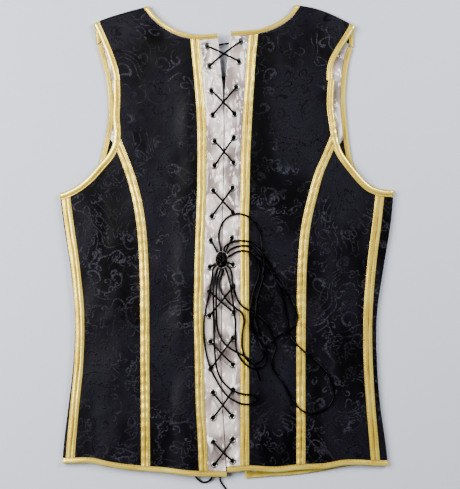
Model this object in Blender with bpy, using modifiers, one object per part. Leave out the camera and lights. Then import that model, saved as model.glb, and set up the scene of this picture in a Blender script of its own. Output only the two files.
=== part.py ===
"""Corset vest laid flat on a table, front down, with its laced back up.

The vest is a flattened tube of cut cloth pieces: two fronts with their lining lie on the
table, the side fronts turn up round the side folds, the yokes turn over the shoulder folds,
and the back pieces lie on top with the lacing between them.
X runs to the right and Y towards the shoulders, both seen from above, and the table is Z = 0.
Every size and table below is in millimetres, and metres are made only when a mesh is built.
"""
import math

import bmesh
import bpy
import numpy as np

MM = 0.001

# Cloth, tape, cord and eyelet sizes
WALL = 1.6
LINING = 1.0
BINDING = 2.6
BINDING_PROUD = 0.5
BINDING_ROUND = 0.7
TAPE = 0.9
TAPE_WIDTH = 12.0
GAP = 0.3
CURVE_GAP = 0.6
SEAM = 0.5
LACE = 2.6
EYELET_HOLE = 6.4
EYELET_SIDES = 10

# Binding widths
NECK_WIDTH = 6.2
YOKE_WIDTH = 8.0
ARMHOLE_WIDTH = 9.0
FRONT_ARMHOLE_WIDTH = 6.5
HEM_WIDTH = 7.5
FRONT_EDGE_WIDTH = 8.5

# How high the underside of the back cloth lies: at the folds, over the body and at the lacing
EDGE_RISE = 5.4
BODY_RISE = 6.6
LACING_RISE = 8.8
FOLD_RADIUS = (EDGE_RISE + WALL) / 2.0
EDGE_SOFTNESS = 45.0
LACING_MIDDLE = -4.0
LACING_FLAT = 42.0
LACING_SLOPE = 40.0

# The box of the vest without its loose cord is centred on the origin by this shift
CENTER_SHIFT = (0.25, 2.2)

YOKE_SEAM_Y = 208.0
FRONT_YOKE_DEPTH = 20.0

# Rows: height y, then the x of each seam of the back
# y, left princess, left centre, left slit edge, right slit edge, right centre, right princess
BACK_SEAMS = [
    (-312, -105.6, -29.8, -0.6, 0.1, 22.9, 96.1),
    (-265, -105.9, -31.8, -2.9, -2.3, 22.9, 96.1),
    (-215, -106.2, -34.5, -5.9, -5.3, 22.8, 96.1),
    (-160, -106.6, -35.7, -8.0, -7.4, 22.8, 96.1),
    (-98, -106.9, -37.0, -7.3, -6.7, 22.8, 96.6),
    (-36, -107.8, -36.1, -7.0, -6.4, 22.6, 97.8),
    (27, -112.5, -34.1, -6.1, -5.5, 22.5, 104.2),
    (60, -118.6, -33.0, -5.3, -4.7, 23.4, 112.1),
    (88, -126.9, -32.5, -4.6, -4.0, 23.9, 120.1),
    (109, -134.6, -32.2, -4.0, -3.4, 24.2, 129.3),
    (130, -143.3, -32.4, -3.9, -3.2, 25.1, 138.1),
    (160, -156.0, -33.2, -4.2, -3.5, 26.7, 150.0),
    (200, -170.0, -36.0, -5.8, -2.5, 29.1, 165.0),
    (235, -182.0, -39.2, -9.4, 0.5, 31.2, 180.0),
    (275, -196.0, -42.8, -12.3, 4.6, 35.3, 196.0),
]
# Rows: height y, then the x of the side folds and of the side seams under their tapes
# y, left fold, left side seam, right side seam, right fold
SIDES = [
    (-312, -216.4, -205.6, 194.8, 211.4),
    (-300, -215.5, -204.8, 194.1, 210.6),
    (-265, -212.7, -202.5, 191.3, 206.7),
    (-215, -206.6, -197.9, 187.0, 199.8),
    (-160, -200.2, -192.7, 183.7, 195.6),
    (-98, -198.4, -191.5, 183.3, 195.5),
    (-36, -204.2, -197.1, 187.8, 204.2),
    (27, -213.8, -206.0, 195.5, 214.1),
    (60, -217.9, -210.1, 198.9, 217.1),
    (90, -221.0, -213.8, 201.5, 219.8),
]
# Outer lines of the bound edges, as (x, y) points
NECK = {
    "l": [(-12.7, 268.6), (-33.0, 266.9), (-49.4, 268.3), (-65.5, 273.4), (-79.8, 281.6),
          (-92.0, 291.7), (-105.0, 307.0)],
    "r": [(4.9, 271.3), (26.3, 272.4), (42.5, 274.8), (58.8, 280.5), (72.8, 288.6),
          (82.2, 296.8), (91.0, 309.5)],
}
SHOULDER = {
    "l": [(-180.0, 278.6), (-168.2, 284.7), (-152.9, 290.7), (-132.6, 296.8), (-98.0, 306.0)],
    "r": [(84.0, 307.0), (96.2, 305.5), (113.6, 302.2), (129.9, 296.8), (146.1, 289.6),
          (160.3, 282.2), (176.0, 273.6)],
}
YOKE_ARMHOLE = {
    "l": [(-146.2, 204.0), (-150.2, 223.6), (-153.9, 234.8), (-161.2, 253.1),
          (-169.1, 271.3), (-176.5, 286.0)],
    "r": [(137.4, 204.0), (139.6, 229.3), (147.0, 244.3), (158.2, 262.1), (171.0, 284.0)],
}
BACK_ARMHOLE = {
    "l": [(-148.6, 214.0), (-147.8, 186.0), (-148.5, 157.6), (-147.4, 137.3),
          (-149.2, 123.5), (-155.0, 111.8), (-165.1, 99.7), (-185.4, 78.4), (-199.7, 68.2),
          (-212.0, 62.5), (-224.0, 59.5)],
    "r": [(141.4, 214.0), (139.4, 195.0), (139.1, 169.5), (141.1, 156.0), (144.0, 137.3),
          (150.2, 114.9), (158.3, 102.8), (166.4, 92.6), (176.5, 80.5), (186.7, 71.2),
          (198.9, 66.3), (224.0, 65.0)],
}
FRONT_ARMHOLE = {
    "l": [(-224.0, 59.5), (-197.6, 68.9), (-183.3, 78.7), (-170.3, 91.7), (-165.1, 106.9),
          (-160.0, 129.2), (-155.3, 153.5), (-155.0, 182.0), (-158.0, 210.6), (-165.1, 238.8),
          (-172.2, 261.9), (-178.0, 288.0)],
    "r": [(224.0, 65.0), (196.3, 67.6), (175.5, 81.9), (165.1, 98.8), (160.3, 119.1),
          (157.8, 139.4), (155.9, 159.6), (154.6, 179.9), (155.2, 200.3), (157.3, 220.6),
          (161.2, 240.9), (166.4, 255.1), (169.0, 267.8), (171.0, 284.0)],
}
BACK_HEM = {
    "l": [(-0.5, -308.1), (-22.1, -307.6), (-52.4, -306.3), (-82.7, -302.9), (-113.1, -300.8),
          (-141.3, -297.7), (-161.6, -293.8), (-177.7, -290.2), (-194.0, -290.4),
          (-220.0, -291.6)],
    "r": [(0.4, -302.2), (28.2, -300.2), (64.6, -301.9), (94.9, -299.0), (125.3, -297.8),
          (155.6, -292.8), (185.9, -293.8), (216.0, -294.4)],
}
FRONT_HEM = {
    "l": [(-220.0, -291.6), (-194.0, -289.0), (-150.0, -291.0), (-100.0, -295.0),
          (-30.0, -300.0), (30.0, -300.5)],
    "r": [(216.0, -294.4), (185.9, -293.2), (157.3, -294.8), (125.3, -300.8),
          (84.9, -306.3), (54.5, -308.4), (20.0, -311.2)],
}
FRONT_NECK = {
    "l": [(-103.4, 305.0), (-100.5, 282.0), (-94.0, 245.0), (-77.0, 206.0), (-46.0, 173.0),
          (0.0, 156.0)],
    "r": [(89.0, 306.6), (88.0, 282.0), (81.0, 245.0), (65.0, 206.0), (36.0, 173.0),
          (-10.0, 156.0)],
}
FRONT_PRINCESS = {
    "l": [(-172.0, 160.0), (-146.0, 122.0), (-126.0, 90.0), (-114.0, 30.0), (-109.0, -60.0),
          (-108.0, -180.0), (-110.0, -312.0)],
    "r": [(172.0, 160.0), (145.0, 122.0), (124.0, 90.0), (112.0, 30.0), (106.0, -60.0),
          (104.0, -180.0), (106.0, -320.0)],
}
FRONT_EDGE = [(25.4, -330.0), (-6.0, 190.0)]

# Rows: x and y at the upper end, x and y at the lower end, half width, height of the fold
FOLDS = [
    (-66, 205, -64, 60, 11, -1.0),
    (-74, -160, -70, -296, 9, -1.2),
    (-56, 40, -60, -130, 10, 0.9),
    (-163, 70, -158, -20, 9, -0.9),
    (-172, -180, -170, -292, 9, -1.0),
    (-148, -40, -140, -200, 12, 0.8),
    (75, 268, 128, 220, 9, 1.0),
    (72, 110, 62, -30, 12, 0.8),
    (77, -150, 75, -296, 8, 1.2),
    (150, 20, 146, -150, 13, 0.9),
    (168, -170, 172, -292, 10, -0.9),
]

# Eyelets from the neck down, as (x, y), left and right
EYELETS = {
    "l": [(-25.9, 251.7), (-22.9, 225.8), (-20.3, 193.6), (-18.5, 162.1), (-15.9, 127.9),
          (-16.2, 96.2), (-17.7, 63.8), (-19.5, 30.7), (-20.8, -0.9), (-22.2, -35.2),
          (-22.4, -66.8), (-22.6, -98.2), (-21.4, -132.0), (-20.9, -166.7), (-18.1, -198.1),
          (-18.1, -231.0), (-17.7, -262.5), (-16.1, -291.3)],
    "r": [(18.3, 257.9), (15.7, 231.5), (12.0, 198.1), (9.8, 163.7), (9.0, 132.9),
          (8.7, 100.1), (7.3, 67.6), (7.7, 35.6), (6.5, 2.3), (7.7, -32.0), (8.5, -60.2),
          (9.1, -94.6), (7.8, -127.3), (7.8, -161.8), (8.1, -194.7), (6.4, -228.4),
          (7.4, -258.7), (7.2, -287.0)],
}
KNOT = (-7.0, -25.5)
KNOT_SIZE = (16.0, 21.0, 10.0)

# Routes of the loose cord, as (x, y) points outside the knot; the height is worked out
LOOPS = {
    "lace_loop_left": [(-17.5, -37), (-19, -48), (-21.5, -61), (-24.5, -76), (-28, -93),
                       (-29.8, -108), (-29.8, -122), (-28.5, -137), (-25, -155), (-20.5, -169),
                       (-14.5, -180.5), (-8, -191.5), (0, -201.5), (10, -208.5), (20, -212.5),
                       (30, -212.5), (36.5, -209.5), (38, -204.5), (34, -200.8), (26, -200.3),
                       (17, -199), (8.5, -195.5), (0.5, -190), (-6, -183), (-11, -173.5),
                       (-14, -162), (-15.5, -148), (-16.5, -132), (-17, -115), (-17, -97),
                       (-17.5, -79), (-17.3, -63), (-15.5, -49), (-12.5, -38)],
    "lace_loop_right": [(-3, -9.5), (2, -5), (9, -2), (18, -1), (28, -2), (37, -5.5), (45, -13.5),
                        (53, -25), (61, -39), (67, -54), (72, -72), (76, -90), (78.5, -106),
                        (80, -119), (85, -130), (96, -141), (109, -152), (121, -162.5),
                        (131, -174), (137.5, -188), (138.5, -203), (131, -217), (118, -224),
                        (103, -224), (91, -216), (80, -198), (70, -181.5), (60, -167),
                        (58.5, -155), (63, -141), (60, -125), (51, -108), (39, -97),
                        (27, -90.5), (18, -84), (13, -75.5), (10, -66.5), (7.3, -55), (4, -37.5)],
    "lace_loop_outer": [(4, -13), (11.5, -9), (20.5, -7.5), (29.5, -8.5), (37, -13), (44, -21.5),
                        (52, -34), (60, -47), (70, -60), (80, -73), (88, -87), (91, -102),
                        (85, -115), (70, -123), (57, -132), (50, -143), (45, -154), (37, -160.5),
                        (29, -158), (23, -150.5), (20, -140), (19.5, -130), (20.5, -116),
                        (22, -103), (19, -94.5), (12, -89), (4, -82.5), (-3, -74), (-8.5, -64),
                        (-9, -53), (-5, -40)],
    "lace_loop_top": [(-8.5, -9), (-10.5, 1), (-9.5, 13), (-4.5, 24), (3.5, 31), (13, 34),
                      (22, 32.5), (30.5, 28.5), (37, 22), (42, 13), (44, 1), (45.5, -12),
                      (48, -26), (48.5, -41), (45, -56), (40.5, -70), (37.5, -84), (37.5, -99),
                      (41, -115), (47, -130), (51.5, -144), (51, -157), (43, -166), (33, -166.5),
                      (24, -161), (16.5, -152.5), (12, -141), (11, -125), (10.8, -107),
                      (9.3, -91), (7.3, -77), (5.5, -65), (3, -53), (-1, -39)],
    "lace_tail_a": [(-9, -39.5), (-12, -50), (-13.5, -62), (-14, -78), (-13.8, -94),
                    (-13.3, -108), (-11, -120), (-6.5, -129.5), (0, -137), (7, -142),
                    (15, -146.5), (24, -151), (31, -156.5), (36, -163), (40, -172), (43, -182)],
    "lace_tail_b": [(5, -20), (12, -15.5), (20.5, -14), (28.5, -15.5), (35.5, -20.5), (40.5, -29),
                    (42, -39), (40.5, -49), (37, -59), (33.5, -70), (31, -82), (29.5, -94),
                    (30, -106), (33.5, -117), (39, -127), (44, -138), (48.5, -149)],
}
CORD_SPACING = 8.8
CORD_STEP = 2.0
CORD_REST = 0.6
CORD_END_GAP = 0.5
CORD_SLOPE = 0.32
CORD_FLAT = 5.0
CORD_SLOPE_STEPS = 40
CORD_SELF_REACH = 4.0 * LACE
LAY_PASSES = 4

# Points across and up the cloth pieces, and along the bindings
ARC_STEPS = 4
CENTER_GRID = (9, 18)
BACK_SIDE_GRID = (8, 14)
YOKE_COLUMNS = 8
YOKE_RISE_ROWS = 5
YOKE_NECK_ROWS = 7
SIDE_ROWS = 14
SIDE_COLUMNS = 8
BACK_ARMHOLE_ROWS = 17
YOKE_ARMHOLE_ROWS = 10
NECK_ROWS = 12
HEM_ROWS = 16
FRONT_ROWS = 14
FRONT_HEM_ROWS = 11
# Where the three points across a binding lie, as shares of its width
BINDING_SHARES = (0.0, 0.45, 1.0)
# How far cutting lines run on past their last points, and where the front bindings start
CLOTH_OVERRUN = 8.0
SHOULDER_OVERRUN = 4.0
YOKE_OVERRUN = 12.0
FRONT_BINDING_START = 4.5


def smooth(points, step=4.0):
    """A curve through the points, with tangents from each point's neighbours."""
    knots = np.array(points, float)
    reach = np.concatenate([[0.0], np.cumsum(np.linalg.norm(np.diff(knots, axis=0), axis=1))])
    slope = np.gradient(knots, reach, axis=0)
    places = np.linspace(0.0, reach[-1], max(2, int(math.ceil(reach[-1] / step)) + 1))
    span = np.clip(np.searchsorted(reach, places, side="right") - 1, 0, len(knots) - 2)
    length = (reach[span + 1] - reach[span])[:, None]
    u = (places - reach[span])[:, None] / length
    return ((2 * u**3 - 3 * u**2 + 1) * knots[span] + (u**3 - 2 * u**2 + u) * length * slope[span]
            + (3 * u**2 - 2 * u**3) * knots[span + 1] + (u**3 - u**2) * length * slope[span + 1])


def resample(line, count):
    """The same line with this many points, evenly spaced along it."""
    reach = np.concatenate([[0.0], np.cumsum(np.linalg.norm(np.diff(line, axis=0), axis=1))])
    places = np.linspace(0.0, reach[-1], count)
    return np.stack([np.interp(places, reach, line[:, k]) for k in range(line.shape[1])], axis=1)


def inset(line, distance, toward):
    """The line moved sideways by a distance, to the side where the point `toward` lies."""
    tangent = np.gradient(line, axis=0)
    tangent /= np.linalg.norm(tangent, axis=1)[:, None]
    normal = np.stack([-tangent[:, 1], tangent[:, 0]], axis=1)
    middle = len(line) // 2
    side = np.sign(np.dot(np.array(toward) - line[middle], normal[middle]))
    return line + side * distance * normal


def extend(line, distance):
    """The line with a straight piece added at both ends."""
    first = (line[0] - line[1]) / np.linalg.norm(line[0] - line[1])
    last = (line[-1] - line[-2]) / np.linalg.norm(line[-1] - line[-2])
    return np.concatenate([line[:1] + first * distance, line, line[-1:] + last * distance])


def crossing(line, other):
    """The place along `line`, as a point number with a fraction, where `other` first meets it."""
    start = line[:-1, None, :]
    way = (line[1:] - line[:-1])[:, None, :]
    other_start = other[None, :-1, :]
    other_way = (other[1:] - other[:-1])[None, :, :]
    cross = way[..., 0] * other_way[..., 1] - way[..., 1] * other_way[..., 0]
    cross = np.where(np.abs(cross) < 1e-12, 1e-12, cross)
    apart = other_start - start
    here = (apart[..., 0] * other_way[..., 1] - apart[..., 1] * other_way[..., 0]) / cross
    there = (apart[..., 0] * way[..., 1] - apart[..., 1] * way[..., 0]) / cross
    found = np.argwhere((here >= 0) & (here <= 1) & (there >= 0) & (there <= 1))
    first = found[0]
    return first[0] + here[first[0], first[1]]


def nearest(line, point):
    """The place along `line`, as a point number with a fraction, nearest to a point."""
    way = line[1:] - line[:-1]
    share = np.sum((point - line[:-1]) * way, axis=1) / np.sum(way * way, axis=1)
    share = np.clip(share, 0.0, 1.0)
    away = np.linalg.norm(line[:-1] + share[:, None] * way - point, axis=1)
    best = int(np.argmin(away))
    return best + share[best]


def stretch(line, begin, end):
    """The part of a line between two places, turned round where end comes before begin."""
    low, high = min(begin, end), max(begin, end)
    inside = np.arange(math.floor(low) + 1, math.ceil(high))
    places = np.concatenate([[low], inside, [high]])
    numbers = np.arange(len(line))
    part = np.stack([np.interp(places, numbers, line[:, k]) for k in range(2)], axis=1)
    return part if begin <= end else part[::-1]


def cut(line, begin, end):
    """The part of a line between the two lines that cross it."""
    return stretch(line, crossing(line, begin), crossing(line, end))


def between(line, begin, end):
    """The part of a line between the places nearest to two points."""
    return stretch(line, nearest(line, begin), nearest(line, end))


def fill(left, right, low, high):
    """A grid of points that fills four edge lines, blended evenly from all of them."""
    left, right, low, high = left[None], right[None], low[:, None], high[:, None]
    s = np.linspace(0.0, 1.0, low.shape[0])[:, None, None]
    t = np.linspace(0.0, 1.0, left.shape[1])[None, :, None]
    corners = ((1 - s) * (1 - t) * left[:, :1] + s * (1 - t) * right[:, :1]
               + (1 - s) * t * left[:, -1:] + s * t * right[:, -1:])
    return (1 - s) * left + s * right + (1 - t) * low + t * high - corners


def patch(left, right, low, high, across, up):
    """The same from edge lines that are first divided evenly."""
    return fill(resample(left, up), resample(right, up), resample(low, across),
                resample(high, across))


def ease(share):
    """Zero below 0, one above 1 and a soft slope between."""
    share = np.clip(share, 0.0, 1.0)
    return share * share * (3.0 - 2.0 * share)


def column(table, number):
    """One column of a table of rows as an (x, y) line."""
    rows = np.array(table, float)
    return smooth(np.stack([rows[:, number], rows[:, 0]], axis=1))


def side_fold(side, y):
    rows = np.array(SIDES, float)
    return np.interp(y, rows[:, 0], rows[:, 1 if side == "l" else 4])


def shoulder_y(x):
    rows = np.array(SHOULDER["l"] + SHOULDER["r"], float)
    return np.interp(x, rows[:, 0], rows[:, 1])


def fold_relief(x, y):
    """The soft folds of the back: each a ridge or trough along a line that fades at its ends."""
    relief = np.zeros(np.shape(x))
    for x_high, y_high, x_low, y_low, half_width, height in FOLDS:
        way = np.array([x_low - x_high, y_low - y_high], float)
        length = np.hypot(*way)
        along = ((x - x_high) * way[0] + (y - y_high) * way[1]) / length**2
        aside = ((x - x_high) * way[1] - (y - y_high) * way[0]) / length
        fade = ease(np.minimum(along, 1.0 - along) / 0.3)
        relief = relief + height * fade * np.exp(-(aside / half_width) ** 2)
    return relief


def back_top(x, y):
    """The height of the upper face of the back cloth."""
    x, y = np.asarray(x, float), np.asarray(y, float)
    from_side = np.minimum(x - side_fold("l", y), side_fold("r", y) - x)
    from_edge = np.minimum(from_side, shoulder_y(x) - y)
    rise = EDGE_RISE + (BODY_RISE - EDGE_RISE) * ease(from_edge / EDGE_SOFTNESS)
    reach = LACING_FLAT + LACING_SLOPE - np.abs(x - LACING_MIDDLE)
    rise = rise + (LACING_RISE - rise) * ease(reach / LACING_SLOPE)
    return rise + WALL + fold_relief(x, y)


def outer_top(x, y):
    """The upper face with the round of the side folds, for what lies across a fold's edge."""
    over = np.minimum(x - side_fold("l", y), side_fold("r", y) - x)
    beyond = np.clip(FOLD_RADIUS - over, 0.0, FOLD_RADIUS)
    return back_top(x, y) - FOLD_RADIUS + np.sqrt(FOLD_RADIUS**2 - beyond**2)


def lift(points, height):
    """The flat points with a height added, as (x, y, z)."""
    return np.concatenate([points, np.broadcast_to(height, points.shape[:-1])[..., None]], axis=-1)


def new_object(name, mesh, color, roughness):
    """Puts a mesh in the part's collection with its own material."""
    piece = bpy.data.objects.new(name, mesh)
    part_collection.objects.link(piece)
    material = bpy.data.materials.new(name + "_finish")
    material.use_nodes = True
    shader = material.node_tree.nodes["Principled BSDF"]
    shader.inputs["Base Color"].default_value = (*color, 1.0)
    shader.inputs["Roughness"].default_value = roughness
    mesh.materials.append(material)
    return piece


def place(points):
    """Design millimetres to metres in the part's frame."""
    moved = np.array(points, float)
    moved[..., 0] += CENTER_SHIFT[0]
    moved[..., 1] += CENTER_SHIFT[1]
    return moved * MM


def cloth(name, points, thickness, finish):
    """A wall: a grid moved to the outer points, with its thickness added on the inner side."""
    flow = np.cross(points[1, 0] - points[0, 0], points[0, 1] - points[0, 0])
    if flow[2] < 0:
        points = points[::-1]
    across, up = points.shape[:2]
    grid = bmesh.new()
    bmesh.ops.create_grid(grid, x_segments=across - 1, y_segments=up - 1, size=1.0)
    placed = place(points)
    for vertex in grid.verts:
        i = round((vertex.co.x + 1.0) / 2.0 * (across - 1))
        j = round((vertex.co.y + 1.0) / 2.0 * (up - 1))
        vertex.co = placed[i, j]
    mesh = bpy.data.meshes.new(name)
    grid.to_mesh(mesh)
    grid.free()
    mesh.shade_smooth()
    piece = new_object(name, mesh, *finish)
    wall = piece.modifiers.new("wall", "SOLIDIFY")
    wall.thickness = thickness * MM
    wall.offset = -1.0
    return piece


def plate(name, outline, holes, low, thickness, finish):
    """A flat cloth piece: a filled outline with any holes, extruded to its thickness."""
    curve = bpy.data.curves.new(name, "CURVE")
    curve.dimensions = "2D"
    curve.fill_mode = "BOTH"
    curve.extrude = thickness * MM / 2.0
    for loop in [outline] + holes:
        placed = place(loop)
        spline = curve.splines.new("POLY")
        spline.points.add(len(placed) - 1)
        for point, (x, y) in zip(spline.points, placed):
            point.co = (x, y, 0.0, 1.0)
        spline.use_cyclic_u = True
    source = bpy.data.objects.new(name + "_outline", curve)
    part_collection.objects.link(source)
    bpy.context.view_layer.update()
    graph = bpy.context.evaluated_depsgraph_get()
    mesh = bpy.data.meshes.new_from_object(source.evaluated_get(graph))
    bpy.data.objects.remove(source)
    solid = bmesh.new()
    solid.from_mesh(mesh)
    bmesh.ops.remove_doubles(solid, verts=solid.verts, dist=0.00001)
    bmesh.ops.translate(solid, verts=solid.verts, vec=(0.0, 0.0, (low + thickness / 2.0) * MM))
    bmesh.ops.recalc_face_normals(solid, faces=solid.faces)
    solid.to_mesh(mesh)
    solid.free()
    mesh.name = name
    mesh.materials.clear()
    return new_object(name, mesh, *finish)


def cord(name, points, finish):
    """A round cord: a curve with a bevel and filled caps along its middle line."""
    curve = bpy.data.curves.new(name, "CURVE")
    curve.dimensions = "3D"
    curve.bevel_depth = LACE * MM / 2.0
    curve.bevel_resolution = 2
    curve.use_fill_caps = True
    placed = place(points)
    spline = curve.splines.new("POLY")
    spline.points.add(len(placed) - 1)
    for point, (x, y, z) in zip(spline.points, placed):
        point.co = (x, y, z, 1.0)
    return new_object(name, curve, *finish)


def turn_over(top_points, outward):
    """Rows that turn over a fold: half circles from the upper face down to the table."""
    radius = top_points[..., 2] / 2.0
    rows = []
    for angle in np.linspace(0.0, math.pi, ARC_STEPS + 1)[1:]:
        row = top_points.copy()
        row[..., :2] += outward * (radius * math.sin(angle))[..., None]
        row[..., 2] = radius * (1.0 + math.cos(angle))
        rows.append(row)
    return rows


def bound_edge(outer, inner, top, steps):
    """Rows of three points across a binding on the back: a rounded edge, a crown, a flat."""
    outer, inner = resample(outer, steps), resample(inner, steps)
    rows = []
    for share, drop in zip(BINDING_SHARES, (-BINDING_ROUND, 0.0, 0.0)):
        flat = outer + (inner - outer) * share
        height = top(flat[:, 0], flat[:, 1]) + BINDING_PROUD + drop
        rows.append(lift(flat, height))
    return np.stack(rows, axis=0)


def under_edge(outer, inner, steps):
    """The same three points across a binding on the front, flat on the table."""
    outer, inner = resample(outer, steps), resample(inner, steps)
    rows = [lift(outer + (inner - outer) * share, 0.0) for share in BINDING_SHARES]
    return np.stack(rows, axis=0)


def folded_binding(name, back, front, outward, finish):
    """One binding that runs along the back, turns over a fold and runs along the front."""
    end = back[:, -1, :]
    arc = np.stack(turn_over(end, outward), axis=1)
    tail = front[:, 1:, :]
    return cloth(name, np.concatenate([back, arc, tail], axis=1), BINDING, finish)


BROCADE = ((0.009, 0.009, 0.014), 0.5)
SATIN = ((0.60, 0.56, 0.55), 0.35)
GOLD = ((0.69, 0.47, 0.17), 0.4)
BLACK_CORD = ((0.004, 0.004, 0.005), 0.55)


def half(side):
    """The lines of one half of the vest, left or right, that its pieces share."""
    left = side == "l"
    away = -1.0 if left else 1.0
    lines = {}
    lines["princess"] = column(BACK_SEAMS, 1 if left else 6)
    lines["center"] = column(BACK_SEAMS, 2 if left else 5)
    lines["slit"] = column(BACK_SEAMS, 3 if left else 4)
    lines["side"] = column(SIDES, 2 if left else 3)
    fold = column(SIDES, 1 if left else 4)
    body = (away * 70.0, -60.0)
    lines["fold"] = fold - np.array([away * FOLD_RADIUS, 0.0])
    shoulder = smooth(SHOULDER[side])
    lines["shoulder"] = extend(inset(shoulder, FOLD_RADIUS, body), SHOULDER_OVERRUN)
    lines["front_yoke"] = extend(inset(lines["shoulder"], FRONT_YOKE_DEPTH, body), YOKE_OVERRUN)
    for name, table, width in (("neck", NECK, NECK_WIDTH),
                               ("yoke_armhole", YOKE_ARMHOLE, YOKE_WIDTH),
                               ("armhole", BACK_ARMHOLE, ARMHOLE_WIDTH),
                               ("hem", BACK_HEM, HEM_WIDTH),
                               ("front_neck", FRONT_NECK, NECK_WIDTH),
                               ("front_armhole", FRONT_ARMHOLE, FRONT_ARMHOLE_WIDTH),
                               ("front_hem", FRONT_HEM, HEM_WIDTH)):
        outer = smooth(table[side])
        toward = (away * 100.0, 150.0) if "neck" in name else body
        toward = (0.0, 60.0) if "armhole" in name else toward
        lines[name] = outer
        lines[name + "_inner"] = inset(outer, width, toward)
        gap = GAP if "hem" in name else CURVE_GAP
        lines[name + "_cloth"] = extend(inset(outer, width + gap, toward), CLOTH_OVERRUN)
    lines["front_princess"] = smooth(FRONT_PRINCESS[side])
    lines["front_edge"] = smooth(FRONT_EDGE)
    lines["yoke_seam"] = np.array([(-240.0, YOKE_SEAM_Y), (240.0, YOKE_SEAM_Y)])
    return lines, away


def aside(line, distance):
    """The line moved along X."""
    return line + np.array([distance, 0.0])


def tape(name, seam, low, high, across, steps):
    """A tape over a seam, from one cutting line to the other."""
    first = cut(aside(seam, -TAPE_WIDTH / 2.0), low, high)
    second = cut(aside(seam, TAPE_WIDTH / 2.0), low, high)
    bottom = between(low, first[0], second[0])
    top = between(high, first[-1], second[-1])
    flat = patch(first, second, bottom, top, across, steps)
    height = outer_top(flat[..., 0], flat[..., 1]) + SEAM + TAPE
    cloth(name, lift(flat, height), TAPE, GOLD)


def back_center(side, lines, away):
    """The wide back piece: princess seam, then armhole, to the centre seam and the yoke."""
    low, high = lines["hem_cloth"], lines["yoke_seam"] - np.array([0.0, SEAM / 2.0])
    princess = aside(lines["princess"], -away * SEAM / 2.0)
    armhole = lines["armhole_cloth"]
    rise = cut(princess, low, armhole)
    edge = stretch(armhole, nearest(armhole, rise[-1]), crossing(armhole, high))
    outside = np.concatenate([rise, edge[1:]])
    center = cut(aside(lines["center"], away * SEAM / 2.0), low, high)
    pair = (outside, center) if side == "l" else (center, outside)
    bottom = between(low, pair[0][0], pair[1][0])
    top = between(high, pair[0][-1], pair[1][-1])
    flat = patch(pair[0], pair[1], bottom, top, *CENTER_GRID)
    cloth("back_center_" + side, lift(flat, back_top(flat[..., 0], flat[..., 1])), WALL, BROCADE)


def back_side(side, lines, away):
    """The side back piece, from the side seam to the princess seam, under the armhole."""
    seams = [(lines["side"], -away * SEAM / 2.0), (lines["princess"], away * SEAM / 2.0)]
    if side == "r":
        seams.reverse()
    first, second = [aside(line, shift) for line, shift in seams]
    low, high = lines["hem_cloth"], lines["armhole_cloth"]
    first, second = cut(first, low, high), cut(second, low, high)
    bottom = between(low, first[0], second[0])
    top = between(high, first[-1], second[-1])
    flat = patch(first, second, bottom, top, *BACK_SIDE_GRID)
    cloth("back_side_" + side, lift(flat, back_top(flat[..., 0], flat[..., 1])), WALL, BROCADE)


def yoke(side, lines, away):
    """The shoulder piece: over the back, round the shoulder fold and down to the front seam."""
    low = lines["yoke_seam"] + np.array([0.0, SEAM / 2.0])
    fold = lines["shoulder"]
    outside = cut(lines["yoke_armhole_cloth"], low, fold)
    center = aside(lines["center"], away * SEAM / 2.0)
    rise = cut(center, low, lines["neck_cloth"])
    neck = lines["neck_cloth"]
    curve = stretch(neck, nearest(neck, rise[-1]), crossing(neck, fold))
    inside = np.concatenate([resample(rise, YOKE_RISE_ROWS), resample(curve, YOKE_NECK_ROWS)[1:]])
    bottom = resample(between(low, outside[0], inside[0]), YOKE_COLUMNS)
    top = resample(between(fold, outside[-1], inside[-1]), YOKE_COLUMNS)
    flat = fill(resample(outside, len(inside)), inside, bottom, top)
    upper = lift(flat, back_top(flat[..., 0], flat[..., 1]))
    end = upper[:, -1, :]
    outward = shoulder_outward(end, fold)
    arc = np.stack(turn_over(end, outward), axis=1)
    front = lift(resample(front_yoke_seam(lines), YOKE_COLUMNS), 0.0)
    middle = (end * [1.0, 1.0, 0.0] + front) / 2.0
    points = np.concatenate([upper, arc, middle[:, None], front[:, None]], axis=1)
    cloth("yoke_" + side, points, WALL, BROCADE)


def shoulder_outward(points, fold):
    """The way off the shoulder at each point: square to the fold line, towards +Y."""
    tangent = np.gradient(fold, axis=0)
    tangent /= np.linalg.norm(tangent, axis=1)[:, None]
    normal = np.stack([-tangent[:, 1], tangent[:, 0]], axis=1)
    places = [nearest(fold, point[:2]) for point in points]
    numbers = np.arange(len(fold))
    outward = np.stack([np.interp(places, numbers, normal[:, k]) for k in range(2)], axis=1)
    return outward * np.sign(outward[:, 1])[:, None]


def front_yoke_seam(lines, shift=0.0):
    """The yoke's seam on the front, from the armhole to the neck."""
    seam = lines["front_yoke"] - np.array([0.0, shift])
    return cut(seam, lines["front_armhole_cloth"], lines["front_neck_cloth"])


def lacing_panel(side, lines, away):
    """The satin panel with its row of eyelet holes."""
    low, high = lines["hem_cloth"], lines["neck_cloth"]
    seam = cut(aside(lines["center"], -away * SEAM / 2.0), low, high)
    slit = cut(aside(lines["slit"], away * GAP / 2.0), low, high)
    top = resample(between(high, seam[-1], slit[-1]), 6)
    bottom = resample(between(low, slit[0], seam[0]), 4)
    outline = np.concatenate([resample(seam, 12), top[1:-1], resample(slit, 12)[::-1],
                              bottom[1:-1]])
    angles = np.linspace(0.0, 2.0 * math.pi, EYELET_SIDES, endpoint=False)
    ring = EYELET_HOLE / 2.0 * np.stack([np.cos(angles), np.sin(angles)], axis=1)
    holes = [ring + np.array(center) for center in EYELETS[side]]
    plate("lacing_panel_" + side, outline, holes, LACING_RISE, WALL, SATIN)


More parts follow.
